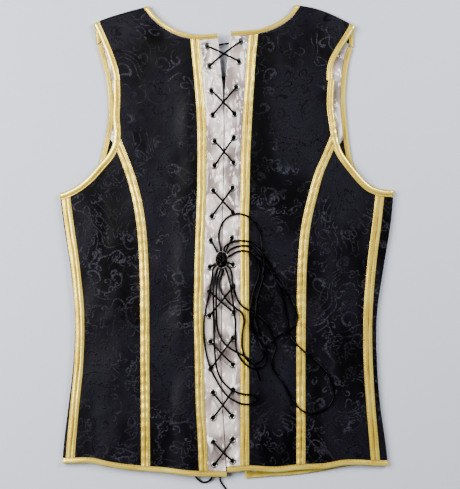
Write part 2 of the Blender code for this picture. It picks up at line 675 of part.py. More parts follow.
def side_front(side, lines, away):
    """The side front: on the table, round the side fold and up to the side seam."""
    seam = aside(lines["side"], away * SEAM / 2.0)
    fold = lines["fold"]
    low, high = lines["hem_cloth"], lines["armhole_cloth"]
    seam, fold = cut(seam, low, high), cut(fold, low, high)
    princess = cut(aside(lines["front_princess"], away * SEAM / 2.0),
                   lines["front_hem_cloth"], lines["front_armhole_cloth"])
    upper = resample(seam, SIDE_ROWS)
    turn = resample(fold, SIDE_ROWS)
    upper = lift(upper, back_top(upper[:, 0], upper[:, 1]))
    turn = lift(turn, back_top(turn[:, 0], turn[:, 1]))
    arc = turn_over(turn, np.array([away, 0.0]))
    bottom = between(lines["front_hem_cloth"], fold[0], princess[0])
    top = between(lines["front_armhole_cloth"], fold[-1], princess[-1])
    flat = lift(patch(fold, princess, bottom, top, SIDE_COLUMNS, SIDE_ROWS), 0.0)
    points = np.concatenate([upper[None], turn[None], np.stack(arc), flat[1:]], axis=0)
    cloth("side_front_" + side, points, WALL, BROCADE)


def front_outline(lines, away):
    """The outline of the flat centre front: hem, princess, armhole, yoke, neck and edge."""
    princess = cut(aside(lines["front_princess"], -away * SEAM / 2.0),
                   lines["front_hem_cloth"], lines["front_armhole_cloth"])
    armhole = lines["front_armhole_cloth"]
    seam = front_yoke_seam(lines, SEAM)
    neck = lines["front_neck_cloth"]
    edge = aside(lines["front_edge"], away * (FRONT_EDGE_WIDTH + GAP * 1.5))
    neck_run = stretch(neck, nearest(neck, seam[-1]), crossing(neck, edge))
    edge_run = cut(edge, neck, lines["front_hem_cloth"])
    hem = between(lines["front_hem_cloth"], edge_run[-1], princess[0])
    runs = [resample(princess, SIDE_ROWS), resample(between(armhole, princess[-1], seam[0]), 9),
            resample(seam, 3), resample(neck_run, FRONT_ROWS), resample(edge_run, 3),
            resample(hem, 6)]
    return np.concatenate([run[:-1] for run in runs])


def center_front(side, lines, away):
    """The centre front on the table and the satin lining inside it."""
    outline = front_outline(lines, away)
    plate("front_center_" + side, outline, [], 0.0, WALL, BROCADE)
    plate("front_lining_" + side, outline, [], WALL + GAP, LINING, SATIN)


def front_edge_binding(side, lines, away):
    """The bound centre edge of a front, from the hem to the neck binding."""
    near = aside(lines["front_edge"], away * GAP / 2.0)
    far = aside(lines["front_edge"], away * (FRONT_EDGE_WIDTH + GAP / 2.0))
    near = cut(near, lines["front_hem"], lines["front_neck_cloth"])
    far = cut(far, lines["front_hem"], lines["front_neck_cloth"])
    outline = np.concatenate([near[[0, -1]], far[[-1, 0]]])
    plate("front_edge_binding_" + side, outline, [], 0.0, BINDING, GOLD)


def armhole_bindings(side, lines, away):
    """The yoke's short binding over the shoulder, and the long one round the armhole."""
    fold = lines["shoulder"]
    seam = lines["yoke_seam"]
    outer = cut(lines["yoke_armhole"], seam, fold)
    inner = cut(lines["yoke_armhole_inner"], seam, fold)
    back = bound_edge(outer, inner, back_top, YOKE_ARMHOLE_ROWS)
    front_end = lines["front_yoke"]
    outer_run, inner_run = lines["front_armhole"], lines["front_armhole_inner"]
    outer_front = np.stack([outer[-1], outer_run[int(crossing(outer_run, front_end))]])
    inner_front = np.stack([inner[-1], inner_run[int(crossing(inner_run, front_end))]])
    front = under_edge(outer_front, inner_front, 3)
    outward = shoulder_outward(back[:, -1, :], fold)
    folded_binding("yoke_binding_" + side, back, front, outward, GOLD)

    low_seam = seam - np.array([0.0, GAP])
    fold = lines["fold"]
    outer = cut(lines["armhole"], low_seam, fold)
    inner = cut(lines["armhole_inner"], low_seam, fold)
    back = bound_edge(outer, inner, back_top, BACK_ARMHOLE_ROWS)
    front_seam = lines["front_yoke"] - np.array([0.0, FRONT_BINDING_START])
    outer_front = cut(lines["front_armhole"], fold, front_seam)
    inner_front = cut(lines["front_armhole_inner"], fold, front_seam)
    outer_front = np.concatenate([outer[-1:], outer_front[3:]])
    inner_front = np.concatenate([inner[-1:], inner_front[3:]])
    front = under_edge(outer_front, inner_front, FRONT_ROWS)
    folded_binding("armhole_binding_" + side, back, front, np.array([away, 0.0]), GOLD)


def neck_binding(side, lines, away):
    """The neck binding: back neck, over the shoulder, and round the scooped front neck."""
    fold = lines["shoulder"]
    outer = stretch(lines["neck"], 0.0, crossing(lines["neck"], fold))
    inner = stretch(lines["neck_inner"], 0.0, crossing(lines["neck_inner"], fold))
    back = bound_edge(outer, inner, back_top, NECK_ROWS)
    edge = aside(lines["front_edge"], away * GAP / 2.0)
    outer_front = stretch(lines["front_neck"], 2.0, crossing(lines["front_neck"], edge))
    inner_front = stretch(lines["front_neck_inner"], 2.0,
                          crossing(lines["front_neck_inner"], edge))
    outer_front = np.concatenate([outer[-1:], outer_front])
    inner_front = np.concatenate([inner[-1:], inner_front])
    front = under_edge(outer_front, inner_front, FRONT_ROWS)
    outward = shoulder_outward(back[:, -1, :], fold)
    folded_binding("neck_binding_" + side, back, front, outward, GOLD)


def hem_binding(side, lines, away):
    """The hem binding: along the back hem, round the side fold and along the front hem."""
    fold = lines["fold"]
    outer = stretch(lines["hem"], 0.0, crossing(lines["hem"], fold))
    inner = stretch(lines["hem_inner"], 0.0, crossing(lines["hem_inner"], fold))
    back = bound_edge(outer, inner, back_top, HEM_ROWS)
    edge = aside(lines["front_edge"], away * (FRONT_EDGE_WIDTH + GAP * 1.5))
    outer_front = cut(lines["front_hem"], fold, edge)
    inner_front = cut(lines["front_hem_inner"], fold, edge)
    outer_front = np.concatenate([outer[-1:], outer_front[2:]])
    inner_front = np.concatenate([inner[-1:], inner_front[2:]])
    front = under_edge(outer_front, inner_front, FRONT_HEM_ROWS)
    folded_binding("hem_binding_" + side, back, front, np.array([away, 0.0]), GOLD)


OUT_Z = LACING_RISE + WALL + GAP + LACE / 2.0 + 0.15
IN_Z = LACING_RISE - GAP - LACE / 2.0 - 0.05
HOLE_Z = LACING_RISE + WALL / 2.0
CROSS_RISE = LACE + GAP
CROWN_SHARES = (0.43, 0.57)
KNOT_MIDDLE_Z = LACING_RISE + WALL + GAP + KNOT_SIZE[2] / 2.0
KNOT_ENTRY_Z = KNOT_MIDDLE_Z - 1.5


def run_between(start, end, level, bulge):
    """Points of a lace run from one eyelet to the next, outside or inside the panels.

    It keeps its level near the eyelets and, where it passes over or under the other run,
    bulges by one cord's thickness in the middle.
    """
    start, end = np.array(start), np.array(end)
    way = (end - start) / np.linalg.norm(end - start)
    lip = EYELET_HOLE / 2.0
    first, last = start + way * lip, end - way * lip
    if bulge == 0.0:
        return [(*first, level), (*last, level)]
    crown = [(*(first + (last - first) * share), level + bulge) for share in CROWN_SHARES]
    return [(*first, level)] + crown + [(*last, level)]


def laced_run(first_side, rows, outside_first, over):
    """The cord's way through the eyelets of these rows, changing sides at each row."""
    points = []
    side = first_side
    outside = outside_first
    for upper, lower in zip(rows[:-1], rows[1:]):
        other = "r" if side == "l" else "l"
        start, end = EYELETS[side][upper], EYELETS[other][lower]
        if outside:
            bulge = CROSS_RISE if over == (upper // 2 % 2 == 0) else 0.0
            points += run_between(start, end, OUT_Z, bulge)
        else:
            bulge = -CROSS_RISE if over else 0.0
            points += run_between(start, end, IN_Z, bulge)
        points.append((*end, HOLE_Z))
        side = other
        outside = not outside
    return points, side


def knot_point(toward):
    """A point just off the knot's side, on the way to another point."""
    way = np.array(toward) - np.array(KNOT)
    way = way / np.linalg.norm(way)
    reach = 1.0 / math.hypot(way[0] / (KNOT_SIZE[0] / 2), way[1] / (KNOT_SIZE[1] / 2))
    spot = np.array(KNOT) + way * (reach + GAP * 2.0)
    return (spot[0], spot[1])


def toward_point(start, end, distance):
    """The point a distance from the start on the way to the end, seen from above."""
    way = np.array(end[:2]) - np.array(start[:2])
    spot = np.array(start[:2]) + way / np.linalg.norm(way) * distance
    return (spot[0], spot[1])


def held_laces():
    """The laced cord: two runs above the knot, and two below it down to the hem."""
    paths = {}
    bar_y = (EYELETS["l"][0][1] + EYELETS["r"][0][1]) / 2.0
    meet = {"l": (-3.8 - GAP, bar_y, IN_Z), "r": (-3.8 + GAP, bar_y, IN_Z)}
    for name, side, over in (("lace_upper_a", "l", True), ("lace_upper_b", "r", False)):
        start = EYELETS[side][0]
        lean = 1.0 if side == "l" else -1.0
        points = [meet[side], (start[0] + lean * EYELET_HOLE / 2.0, start[1], IN_Z),
                  (*start, HOLE_Z)]
        run, end_side = laced_run(side, list(range(9)), True, over)
        points += run
        last = EYELETS[end_side][8]
        points.append((*toward_point(last, KNOT, EYELET_HOLE / 2.0), OUT_Z))
        points.append((*knot_point(last), KNOT_ENTRY_Z))
        paths[name] = points
    for name, side, over, onward in (("lace_lower_a", "l", True, HEM_LOOP[0]),
                                     ("lace_lower_b", "r", False, HEM_TAIL[0])):
        start = EYELETS[side][9]
        points = [(*knot_point(start), KNOT_ENTRY_Z),
                  (*toward_point(start, KNOT, EYELET_HOLE / 2.0), OUT_Z), (*start, HOLE_Z)]
        run, end_side = laced_run(side, list(range(9, 18)), False, over)
        last = EYELETS[end_side][17]
        points += run
        points.append((*toward_point(last, onward, EYELET_HOLE / 2.0), IN_Z))
        points.append((*toward_point(onward, last, CORD_END_GAP), IN_Z))
        paths[name] = points
    return paths


HEM_LOOP = [(-17.8, -296.3, IN_Z), (-18.5, -305.0, 5.6), (-21.0, -311.5, 3.2),
            (-26.0, -315.5, 1.8), (-32.0, -316.0, 1.6), (-37.5, -312.5, 2.8),
            (-41.5, -306.0, 5.2), (-44.0, -298.0, 5.6), (-46.0, -287.0, 4.8)]
HEM_TAIL = [(4.4, -291.4, IN_Z), (-3.0, -299.5, 6.0), (-7.5, -306.0, 5.2),
            (-9.0, -312.0, 3.4), (-6.5, -318.0, 1.9), (-2.5, -323.5, 1.6), (1.0, -329.5, 1.6)]


def support(x, y):
    """The height of what a loose cord lies on: the back cloth, or a tape on it."""
    height = back_top(x, y)
    rows = np.array(BACK_SEAMS, float)
    for number in (2, 5, 6):
        seam = np.interp(y, rows[:, 0], rows[:, number])
        near = np.abs(x - seam) < TAPE_WIDTH / 2.0 + LACE
        height = np.where(near, height + SEAM + TAPE, height)
    return height


def hump(heights, step):
    """The heights widened to flat tops, then joined by slopes no steeper than CORD_SLOPE."""
    count = int(round(CORD_FLAT / step))
    wide = heights.copy()
    for k in range(1, count + 1):
        wide[k:] = np.maximum(wide[k:], heights[:-k])
        wide[:-k] = np.maximum(wide[:-k], heights[k:])
    low = wide.copy()
    for k in range(1, CORD_SLOPE_STEPS):
        low[k:] = np.maximum(low[k:], wide[:-k] - CORD_SLOPE * step * k)
        low[:-k] = np.maximum(low[:-k], wide[k:] - CORD_SLOPE * step * k)
    return low


def lay_cord(route, laid, returns):
    """A loose cord from the knot, laid on the cloth and over the cords that were laid before.

    Its height is that of the cloth or of the cord under it, widened and joined by soft slopes;
    it leaves the knot at the level of the knot's side, and a loop comes back to it the same way.
    """
    route = [knot_point(route[0])] + route
    if returns:
        route = route + [knot_point(route[-1])]
    flat = smooth(route, CORD_STEP)
    step = np.linalg.norm(flat[1] - flat[0])
    ground = support(flat[:, 0], flat[:, 1]) + LACE / 2.0 + CORD_REST
    ground[0] = KNOT_ENTRY_Z
    if returns:
        ground[-1] = KNOT_ENTRY_Z
    reach = LACE + CORD_REST
    below = np.concatenate(laid)
    away = np.linalg.norm(flat[:, None] - below[None, :, :2], axis=2)
    over = np.sqrt(np.maximum(reach**2 - away**2, 0.0)) + below[None, :, 2]
    ground = np.maximum(ground, np.where(away < reach, over, 0.0).max(axis=1))
    heights = hump(ground, step)
    apart = int(round(CORD_SELF_REACH / step))
    numbers = np.arange(len(flat))
    away = np.linalg.norm(flat[:, None] - flat[None], axis=2)
    meets = (away < reach) & (numbers[:, None] - numbers[None] > apart)
    for _ in range(LAY_PASSES):
        over = heights[None] + np.sqrt(np.maximum(reach**2 - away**2, 0.0))
        ground = np.maximum(ground, np.where(meets, over, 0.0).max(axis=1))
        heights = hump(ground, step)
    return lift(flat, heights)


def dense(points):
    """A cord's points with more between them, for measuring how near another cord comes."""
    points = np.array(points, float)
    length = np.sum(np.linalg.norm(np.diff(points, axis=0), axis=1))
    return resample(points, max(2, int(length / 1.5)))


def laces():
    """Every cord: the held runs through the eyelets and the loose loops over them."""
    paths = held_laces()
    laid = []
    for name, points in paths.items():
        cord(name, points, BLACK_CORD)
        laid.append(dense(points))
    for name, points in (("lace_hem_loop", HEM_LOOP), ("lace_hem_tail", HEM_TAIL)):
        line = smooth(points, 5.0)
        cord(name, line, BLACK_CORD)
    for name, route in LOOPS.items():
        path = lay_cord(route, laid, "loop" in name)
        laid.append(dense(path))
        length = np.sum(np.linalg.norm(np.diff(path, axis=0), axis=1))
        cord(name, resample(path, int(round(length / CORD_SPACING)) + 1), BLACK_CORD)


def knot():
    """The knot that gathers the cord at the waist, as a rounded lump."""
    ball = bmesh.new()
    bmesh.ops.create_uvsphere(ball, u_segments=12, v_segments=8, radius=0.5)
    center = place((*KNOT, KNOT_MIDDLE_Z))
    size = np.array(KNOT_SIZE) * MM
    for vertex in ball.verts:
        vertex.co = center + np.array(vertex.co) * size
    mesh = bpy.data.meshes.new("lace_knot")
    ball.to_mesh(mesh)
    ball.free()
    mesh.shade_smooth()
    new_object("lace_knot", mesh, *BLACK_CORD)


def build():
    """Makes every piece of the vest."""
    for side in ("l", "r"):
        lines, away = half(side)
        back_center(side, lines, away)
        back_side(side, lines, away)
        yoke(side, lines, away)
        lacing_panel(side, lines, away)
        side_front(side, lines, away)
        center_front(side, lines, away)
        front_edge_binding(side, lines, away)
        hem, armhole = lines["hem_cloth"], lines["armhole_cloth"]
        tape("center_tape_" + side, lines["center"], hem, lines["neck_cloth"], 3, 14)
        tape("princess_tape_" + side, lines["princess"], hem, armhole, 3, 13)
        tape("side_tape_" + side, lines["side"], hem, armhole, 5, 13)
        armhole_bindings(side, lines, away)
        neck_binding(side, lines, away)
        hem_binding(side, lines, away)
    knot()
    laces()


for old in list(bpy.data.objects):
    bpy.data.objects.remove(old)
part_collection = bpy.data.collections.new("corset_vest")
bpy.context.scene.collection.children.link(part_collection)
build()
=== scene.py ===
"""Looks of the corset vest: brocade shell, gold tape, satin lacing panels, eyelets and cord.

The vest lies front down on a pale table with its laced back up.  Every form below is a surface
worked out on a grid: a flat cut piece between its seam lines, lifted to the height that the
cloth has there, with soft creases, seam puckers and rounded tape edges added to that height.
Sizes and tables are in millimetres of the cutting plan; place() turns them into metres.
"""

import math

import bpy
import numpy as np
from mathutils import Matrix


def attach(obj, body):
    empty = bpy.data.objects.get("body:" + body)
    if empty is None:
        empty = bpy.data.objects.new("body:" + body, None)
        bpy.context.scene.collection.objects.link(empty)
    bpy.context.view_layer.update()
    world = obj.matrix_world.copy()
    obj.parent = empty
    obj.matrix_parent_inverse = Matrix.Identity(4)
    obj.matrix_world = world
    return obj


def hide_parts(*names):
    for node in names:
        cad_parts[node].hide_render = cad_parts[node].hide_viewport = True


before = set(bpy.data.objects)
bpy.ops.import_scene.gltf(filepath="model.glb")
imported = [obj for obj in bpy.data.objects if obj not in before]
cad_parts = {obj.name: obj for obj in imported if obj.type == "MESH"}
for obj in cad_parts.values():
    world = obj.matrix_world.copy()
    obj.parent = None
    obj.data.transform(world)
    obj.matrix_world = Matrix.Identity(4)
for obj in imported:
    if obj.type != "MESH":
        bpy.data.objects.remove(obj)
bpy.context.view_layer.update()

MM = 0.001

# Camera: straight above the photo's middle, seen from a step away
VIEW_MIDDLE = (4.15, -3.65)
VIEW_HEIGHT = 635.7
CAMERA_DISTANCE = 1600.0
CLOTH_LEVEL = 8.0
SENSOR = 36.0

# Cloth, tape and cord sizes
WALL = 1.6
SHELL = 1.2
LINING_TOP = 2.9
LINING_SHELL = 0.6
BINDING = 2.4
TAPE_WIDTH = 12.0
TAPE_SHELL = 0.6
GAP = 0.3
CURVE_GAP = 0.6
SEAM = 0.5
LACE = 2.6
EYELET_HOLE = 6.4

NECK_WIDTH = 6.2
YOKE_WIDTH = 8.0
ARMHOLE_WIDTH = 9.0
FRONT_ARMHOLE_WIDTH = 6.5
HEM_WIDTH = 7.5
FRONT_EDGE_WIDTH = 8.5

# How high the underside of the back cloth lies: at the folds, over the body and at the lacing
EDGE_RISE = 5.4
BODY_RISE = 6.6
LACING_RISE = 8.8
FOLD_RADIUS = (EDGE_RISE + WALL) / 2.0
EDGE_SOFTNESS = 45.0
LACING_MIDDLE = -4.0
LACING_FLAT = 42.0
LACING_SLOPE = 40.0
CENTER_SHIFT = (0.25, 2.2)
YOKE_SEAM_Y = 208.0
FRONT_YOKE_DEPTH = 20.0

# Rows: height y, then the x of each seam of the back
# y, left princess, left centre, left slit edge, right slit edge, right centre, right princess
BACK_SEAMS = [
    (-312, -105.6, -29.8, -0.6, 0.1, 22.9, 96.1),
    (-265, -105.9, -31.8, -2.9, -2.3, 22.9, 96.1),
    (-215, -106.2, -34.5, -5.9, -5.3, 22.8, 96.1),
    (-160, -106.6, -35.7, -8.0, -7.4, 22.8, 96.1),
    (-98, -106.9, -37.0, -7.3, -6.7, 22.8, 96.6),
    (-36, -107.8, -36.1, -7.0, -6.4, 22.6, 97.8),
    (27, -112.5, -34.1, -6.1, -5.5, 22.5, 104.2),
    (60, -118.6, -33.0, -5.3, -4.7, 23.4, 112.1),
    (88, -126.9, -32.5, -4.6, -4.0, 23.9, 120.1),
    (109, -134.6, -32.2, -4.0, -3.4, 24.2, 129.3),
    (130, -143.3, -32.4, -3.9, -3.2, 25.1, 138.1),
    (160, -156.0, -33.2, -4.2, -3.5, 26.7, 150.0),
    (200, -170.0, -36.0, -5.8, -2.5, 29.1, 165.0),
    (235, -182.0, -39.2, -9.4, 0.5, 31.2, 180.0),
    (275, -196.0, -42.8, -12.3, 4.6, 35.3, 196.0),
]
# Rows: height y, then the x of the side folds and of the side seams under their tapes
# y, left fold, left side seam, right side seam, right fold
SIDES = [
    (-312, -216.4, -205.6, 194.8, 211.4),
    (-300, -215.5, -204.8, 194.1, 210.6),
    (-265, -212.7, -202.5, 191.3, 206.7),
    (-215, -206.6, -197.9, 187.0, 199.8),
    (-160, -200.2, -192.7, 183.7, 195.6),
    (-98, -198.4, -191.5, 183.3, 195.5),
    (-36, -204.2, -197.1, 187.8, 204.2),
    (27, -213.8, -206.0, 195.5, 214.1),
    (60, -217.9, -210.1, 198.9, 217.1),
    (90, -221.0, -213.8, 201.5, 219.8),
]
# Outer lines of the bound edges, as (x, y) points
NECK = {
    "l": [(-12.7, 268.6), (-33.0, 266.9), (-49.4, 268.3), (-65.5, 273.4), (-79.8, 281.6),
          (-92.0, 291.7), (-105.0, 307.0)],
    "r": [(4.9, 271.3), (26.3, 272.4), (42.5, 274.8), (58.8, 280.5), (72.8, 288.6),
          (82.2, 296.8), (91.0, 309.5)],
}
SHOULDER = {
    "l": [(-180.0, 278.6), (-168.2, 284.7), (-152.9, 290.7), (-132.6, 296.8), (-98.0, 306.0)],
    "r": [(84.0, 307.0), (96.2, 305.5), (113.6, 302.2), (129.9, 296.8), (146.1, 289.6),
          (160.3, 282.2), (176.0, 273.6)],
}
YOKE_ARMHOLE = {
    "l": [(-146.2, 204.0), (-150.2, 223.6), (-153.9, 234.8), (-161.2, 253.1),
          (-169.1, 271.3), (-176.5, 286.0)],
    "r": [(137.4, 204.0), (139.6, 229.3), (147.0, 244.3), (158.2, 262.1), (171.0, 284.0)],
}
BACK_ARMHOLE = {
    "l": [(-148.6, 214.0), (-147.8, 186.0), (-148.5, 157.6), (-147.4, 137.3),
          (-149.2, 123.5), (-155.0, 111.8), (-165.1, 99.7), (-185.4, 78.4), (-199.7, 68.2),
          (-212.0, 62.5), (-224.0, 59.5)],
    "r": [(141.4, 214.0), (139.4, 195.0), (139.1, 169.5), (141.1, 156.0), (144.0, 137.3),
          (150.2, 114.9), (158.3, 102.8), (166.4, 92.6), (176.5, 80.5), (186.7, 71.2),
          (198.9, 66.3), (224.0, 65.0)],
}
FRONT_ARMHOLE = {
    "l": [(-224.0, 59.5), (-197.6, 68.9), (-183.3, 78.7), (-170.3, 91.7), (-165.1, 106.9),
          (-160.0, 129.2), (-155.3, 153.5), (-155.0, 182.0), (-158.0, 210.6), (-165.1, 238.8),
          (-172.2, 261.9), (-178.0, 288.0)],
    "r": [(224.0, 65.0), (196.3, 67.6), (175.5, 81.9), (165.1, 98.8), (160.3, 119.1),
          (157.8, 139.4), (155.9, 159.6), (154.6, 179.9), (155.2, 200.3), (157.3, 220.6),
          (161.2, 240.9), (166.4, 255.1), (169.0, 267.8), (171.0, 284.0)],
}
BACK_HEM = {
    "l": [(-0.5, -308.1), (-22.1, -307.6), (-52.4, -306.3), (-82.7, -302.9), (-113.1, -300.8),
          (-141.3, -297.7), (-161.6, -293.8), (-177.7, -290.2), (-194.0, -290.4),
          (-220.0, -291.6)],
    "r": [(0.4, -302.2), (28.2, -300.2), (64.6, -301.9), (94.9, -299.0), (125.3, -297.8),
          (155.6, -292.8), (185.9, -293.8), (216.0, -294.4)],
}
FRONT_HEM = {
    "l": [(-220.0, -291.6), (-194.0, -289.0), (-150.0, -291.0), (-100.0, -295.0),
          (-30.0, -300.0), (30.0, -300.5)],
    "r": [(216.0, -294.4), (185.9, -293.2), (157.3, -294.8), (125.3, -300.8),
          (84.9, -306.3), (54.5, -308.4), (20.0, -311.2)],
}
FRONT_NECK = {
    "l": [(-103.4, 305.0), (-100.5, 282.0), (-94.0, 245.0), (-77.0, 206.0), (-46.0, 173.0),
          (0.0, 156.0)],
    "r": [(89.0, 306.6), (88.0, 282.0), (81.0, 245.0), (65.0, 206.0), (36.0, 173.0),
          (-10.0, 156.0)],
}
FRONT_PRINCESS = {
    "l": [(-172.0, 160.0), (-146.0, 122.0), (-126.0, 90.0), (-114.0, 30.0), (-109.0, -60.0),
          (-108.0, -180.0), (-110.0, -312.0)],
    "r": [(172.0, 160.0), (145.0, 122.0), (124.0, 90.0), (112.0, 30.0), (106.0, -60.0),
          (104.0, -180.0), (106.0, -320.0)],
}
FRONT_EDGE = [(25.4, -330.0), (-6.0, 190.0)]

# Large folds, then smaller creases
# Rows: x and y at the upper end, x and y at the lower end, half width, height of the fold
FOLDS = [
    (-66, 205, -64, 60, 11, -1.0),
    (-74, -160, -70, -296, 9, -1.2),
    (-56, 40, -60, -130, 10, 0.9),
    (-163, 70, -158, -20, 9, -0.9),
    (-172, -180, -170, -292, 9, -1.0),
    (-148, -40, -140, -200, 12, 0.8),
    (75, 268, 128, 220, 9, 1.0),
    (72, 110, 62, -30, 12, 0.8),
    (77, -150, 75, -296, 8, 1.2),
    (150, 20, 146, -150, 13, 0.9),
    (168, -170, 172, -292, 10, -0.9),
]
CREASES = [
    (-52, 250, -118, 262, 7, 0.5),
    (-95, 236, -150, 246, 6, -0.45),
    (-60, 226, -130, 214, 8, 0.4),
    (-140, 182, -96, 150, 6, 0.5),
    (-134, 152, -92, 118, 5, -0.45),
    (-84, 120, -52, 78, 7, 0.4),
    (-98, 60, -60, 34, 6, -0.4),
    (-96, -20, -52, -44, 7, 0.45),
    (-62, -78, -98, -110, 6, -0.4),
    (-90, -176, -46, -200, 7, 0.35),
    (-98, -232, -60, -262, 6, 0.4),
    (-196, 38, -140, 22, 6, 0.45),
    (-192, -44, -128, -58, 6, -0.4),
    (-128, -92, -180, -112, 7, 0.5),
    (-130, -214, -190, -236, 6, 0.45),
    (-124, -262, -160, -286, 6, -0.4),
    (48, 246, 110, 262, 7, 0.45),
    (118, 250, 150, 268, 5, -0.45),
    (60, 216, 126, 196, 8, 0.4),
    (128, 176, 84, 148, 6, -0.45),
    (118, 138, 70, 112, 6, 0.5),
    (40, 62, 88, 36, 7, -0.35),
    (44, -6, 88, -34, 7, 0.4),
    (90, -92, 44, -120, 6, -0.4),
    (40, -196, 86, -224, 6, 0.35),
    (126, 32, 186, 12, 7, 0.45),
    (120, -64, 178, -84, 6, -0.4),
    (178, -110, 122, -132, 7, 0.45),
    (116, -220, 176, -244, 6, 0.4),
    (186, 44, 180, -40, 6, 0.4),
]
# The share of a fold at each end over which it fades, and how near a folded edge and the
# lacing the creases die away
FADE_SHARE = 0.3
CALM_EDGE = 18.0
CALM_LACING = 20.0
CALM_SLOPE = 16.0
# Long waves that keep the cloth from lying dead flat
# Rows: waves along x, waves along y, both in turns a metre, phase, height
SWELLS = [
    (9.0, 4.0, 0.3, 0.28),
    (-6.0, 11.0, 1.7, 0.24),
    (17.0, -8.0, 2.9, 0.16),
    (23.0, 19.0, 4.1, 0.10),
    (-31.0, 12.0, 5.0, 0.08),
]
# Puckers that the sewing draws up along a seam
# Rows: column of BACK_SEAMS, wave length, phase, height
PUCKERS = [
    (1, 13.0, 0.4, 0.24),
    (2, 15.0, 1.9, 0.20),
    (5, 14.0, 0.9, 0.20),
    (6, 12.0, 2.6, 0.24),
]
PUCKER_REACH = 11.0
PUCKER_SLANT = 0.35
PUCKER_DRIFT = 4.0
PUCKER_DRIFT_LENGTH = 31.0
# Heights of the short and the long ripples of the lacing panels
PANEL_PUCKERS = {"l": (0.60, 0.38), "r": (0.30, 0.30)}
# Pleats that fan out round an eyelet: height, distance from its middle, width
PLEAT_HEIGHT = 0.34
PLEAT_PLACE = 7.5
PLEAT_WIDTH = 4.0
# The soft ridge along the centre seam: height, distance from the seam, width, and the strip
# beside the seam that the tape holds flat
RIDGE_HEIGHT = 1.5
RIDGE_PLACE = 8.5
RIDGE_WIDTH = 3.2
HELD_WIDTH = 4.5
HELD_SLOPE = 3.0
# Wrinkles of the front lining: height, and the share of the sheet at its edges that calms them
LINING_WRINKLE = 0.35
LINING_CALM = 1.0 / 12.0

# Eyelets from the neck down, as (x, y), left and right
EYELETS = {
    "l": [(-25.9, 251.7), (-22.9, 225.8), (-20.3, 193.6), (-18.5, 162.1), (-15.9, 127.9),
          (-16.2, 96.2), (-17.7, 63.8), (-19.5, 30.7), (-20.8, -0.9), (-22.2, -35.2),
          (-22.4, -66.8), (-22.6, -98.2), (-21.4, -132.0), (-20.9, -166.7), (-18.1, -198.1),
          (-18.1, -231.0), (-17.7, -262.5), (-16.1, -291.3)],
    "r": [(18.3, 257.9), (15.7, 231.5), (12.0, 198.1), (9.8, 163.7), (9.0, 132.9),
          (8.7, 100.1), (7.3, 67.6), (7.7, 35.6), (6.5, 2.3), (7.7, -32.0), (8.5, -60.2),
          (9.1, -94.6), (7.8, -127.3), (7.8, -161.8), (8.1, -194.7), (6.4, -228.4),
          (7.4, -258.7), (7.2, -287.0)],
}
# The first eyelet below the knot, and where the two cords meet behind the top of the slit
KNOT_ROW = 9
SLIT_TOP_X = -3.8
KNOT = (-7.0, -25.5)
KNOT_SIZE = (16.0, 21.0, 10.0)
KNOT_POINTS = 320

# Routes of the loose cord, as (x, y) points outside the knot; the height is worked out
LOOPS = {
    "lace_loop_left": [(-17.5, -37), (-19, -48), (-21.5, -61), (-24.5, -76), (-28, -93),
                       (-29.8, -108), (-29.8, -122), (-28.5, -137), (-25, -155), (-20.5, -169),
                       (-14.5, -180.5), (-8, -191.5), (0, -201.5), (10, -208.5), (20, -212.5),
                       (30, -212.5), (36.5, -209.5), (38, -204.5), (34, -200.8), (26, -200.3),
                       (17, -199), (8.5, -195.5), (0.5, -190), (-6, -183), (-11, -173.5),
                       (-14, -162), (-15.5, -148), (-16.5, -132), (-17, -115), (-17, -97),
                       (-17.5, -79), (-17.3, -63), (-15.5, -49), (-12.5, -38)],
    "lace_loop_right": [(-3, -9.5), (2, -5), (9, -2), (18, -1), (28, -2), (37, -5.5), (45, -13.5),
                        (53, -25), (61, -39), (67, -54), (72, -72), (76, -90), (78.5, -106),
                        (80, -119), (85, -130), (96, -141), (109, -152), (121, -162.5),
                        (131, -174), (137.5, -188), (138.5, -203), (131, -217), (118, -224),
                        (103, -224), (91, -216), (80, -198), (70, -181.5), (60, -167),
                        (58.5, -155), (63, -141), (60, -125), (51, -108), (39, -97),
                        (27, -90.5), (18, -84), (13, -75.5), (10, -66.5), (7.3, -55), (4, -37.5)],
    "lace_loop_outer": [(4, -13), (11.5, -9), (20.5, -7.5), (29.5, -8.5), (37, -13), (44, -21.5),
                        (52, -34), (60, -47), (70, -60), (80, -73), (88, -87), (91, -102),
                        (85, -115), (70, -123), (57, -132), (50, -143), (45, -154), (37, -160.5),
                        (29, -158), (23, -150.5), (20, -140), (19.5, -130), (20.5, -116),
                        (22, -103), (19, -94.5), (12, -89), (4, -82.5), (-3, -74), (-8.5, -64),
                        (-9, -53), (-5, -40)],
    "lace_loop_top": [(-8.5, -9), (-10.5, 1), (-9.5, 13), (-4.5, 24), (3.5, 31), (13, 34),
                      (22, 32.5), (30.5, 28.5), (37, 22), (42, 13), (44, 1), (45.5, -12),
                      (48, -26), (48.5, -41), (45, -56), (40.5, -70), (37.5, -84), (37.5, -99),
                      (41, -115), (47, -130), (51.5, -144), (51, -157), (43, -166), (33, -166.5),
                      (24, -161), (16.5, -152.5), (12, -141), (11, -125), (10.8, -107),
                      (9.3, -91), (7.3, -77), (5.5, -65), (3, -53), (-1, -39)],
    "lace_tail_a": [(-9, -39.5), (-12, -50), (-13.5, -62), (-14, -78), (-13.8, -94),
                    (-13.3, -108), (-11, -120), (-6.5, -129.5), (0, -137), (7, -142),
                    (15, -146.5), (24, -151), (31, -156.5), (36, -163), (40, -172), (43, -182)],
    "lace_tail_b": [(5, -20), (12, -15.5), (20.5, -14), (28.5, -15.5), (35.5, -20.5), (40.5, -29),
                    (42, -39), (40.5, -49), (37, -59), (33.5, -70), (31, -82), (29.5, -94),
                    (30, -106), (33.5, -117), (39, -127), (44, -138), (48.5, -149)],
}
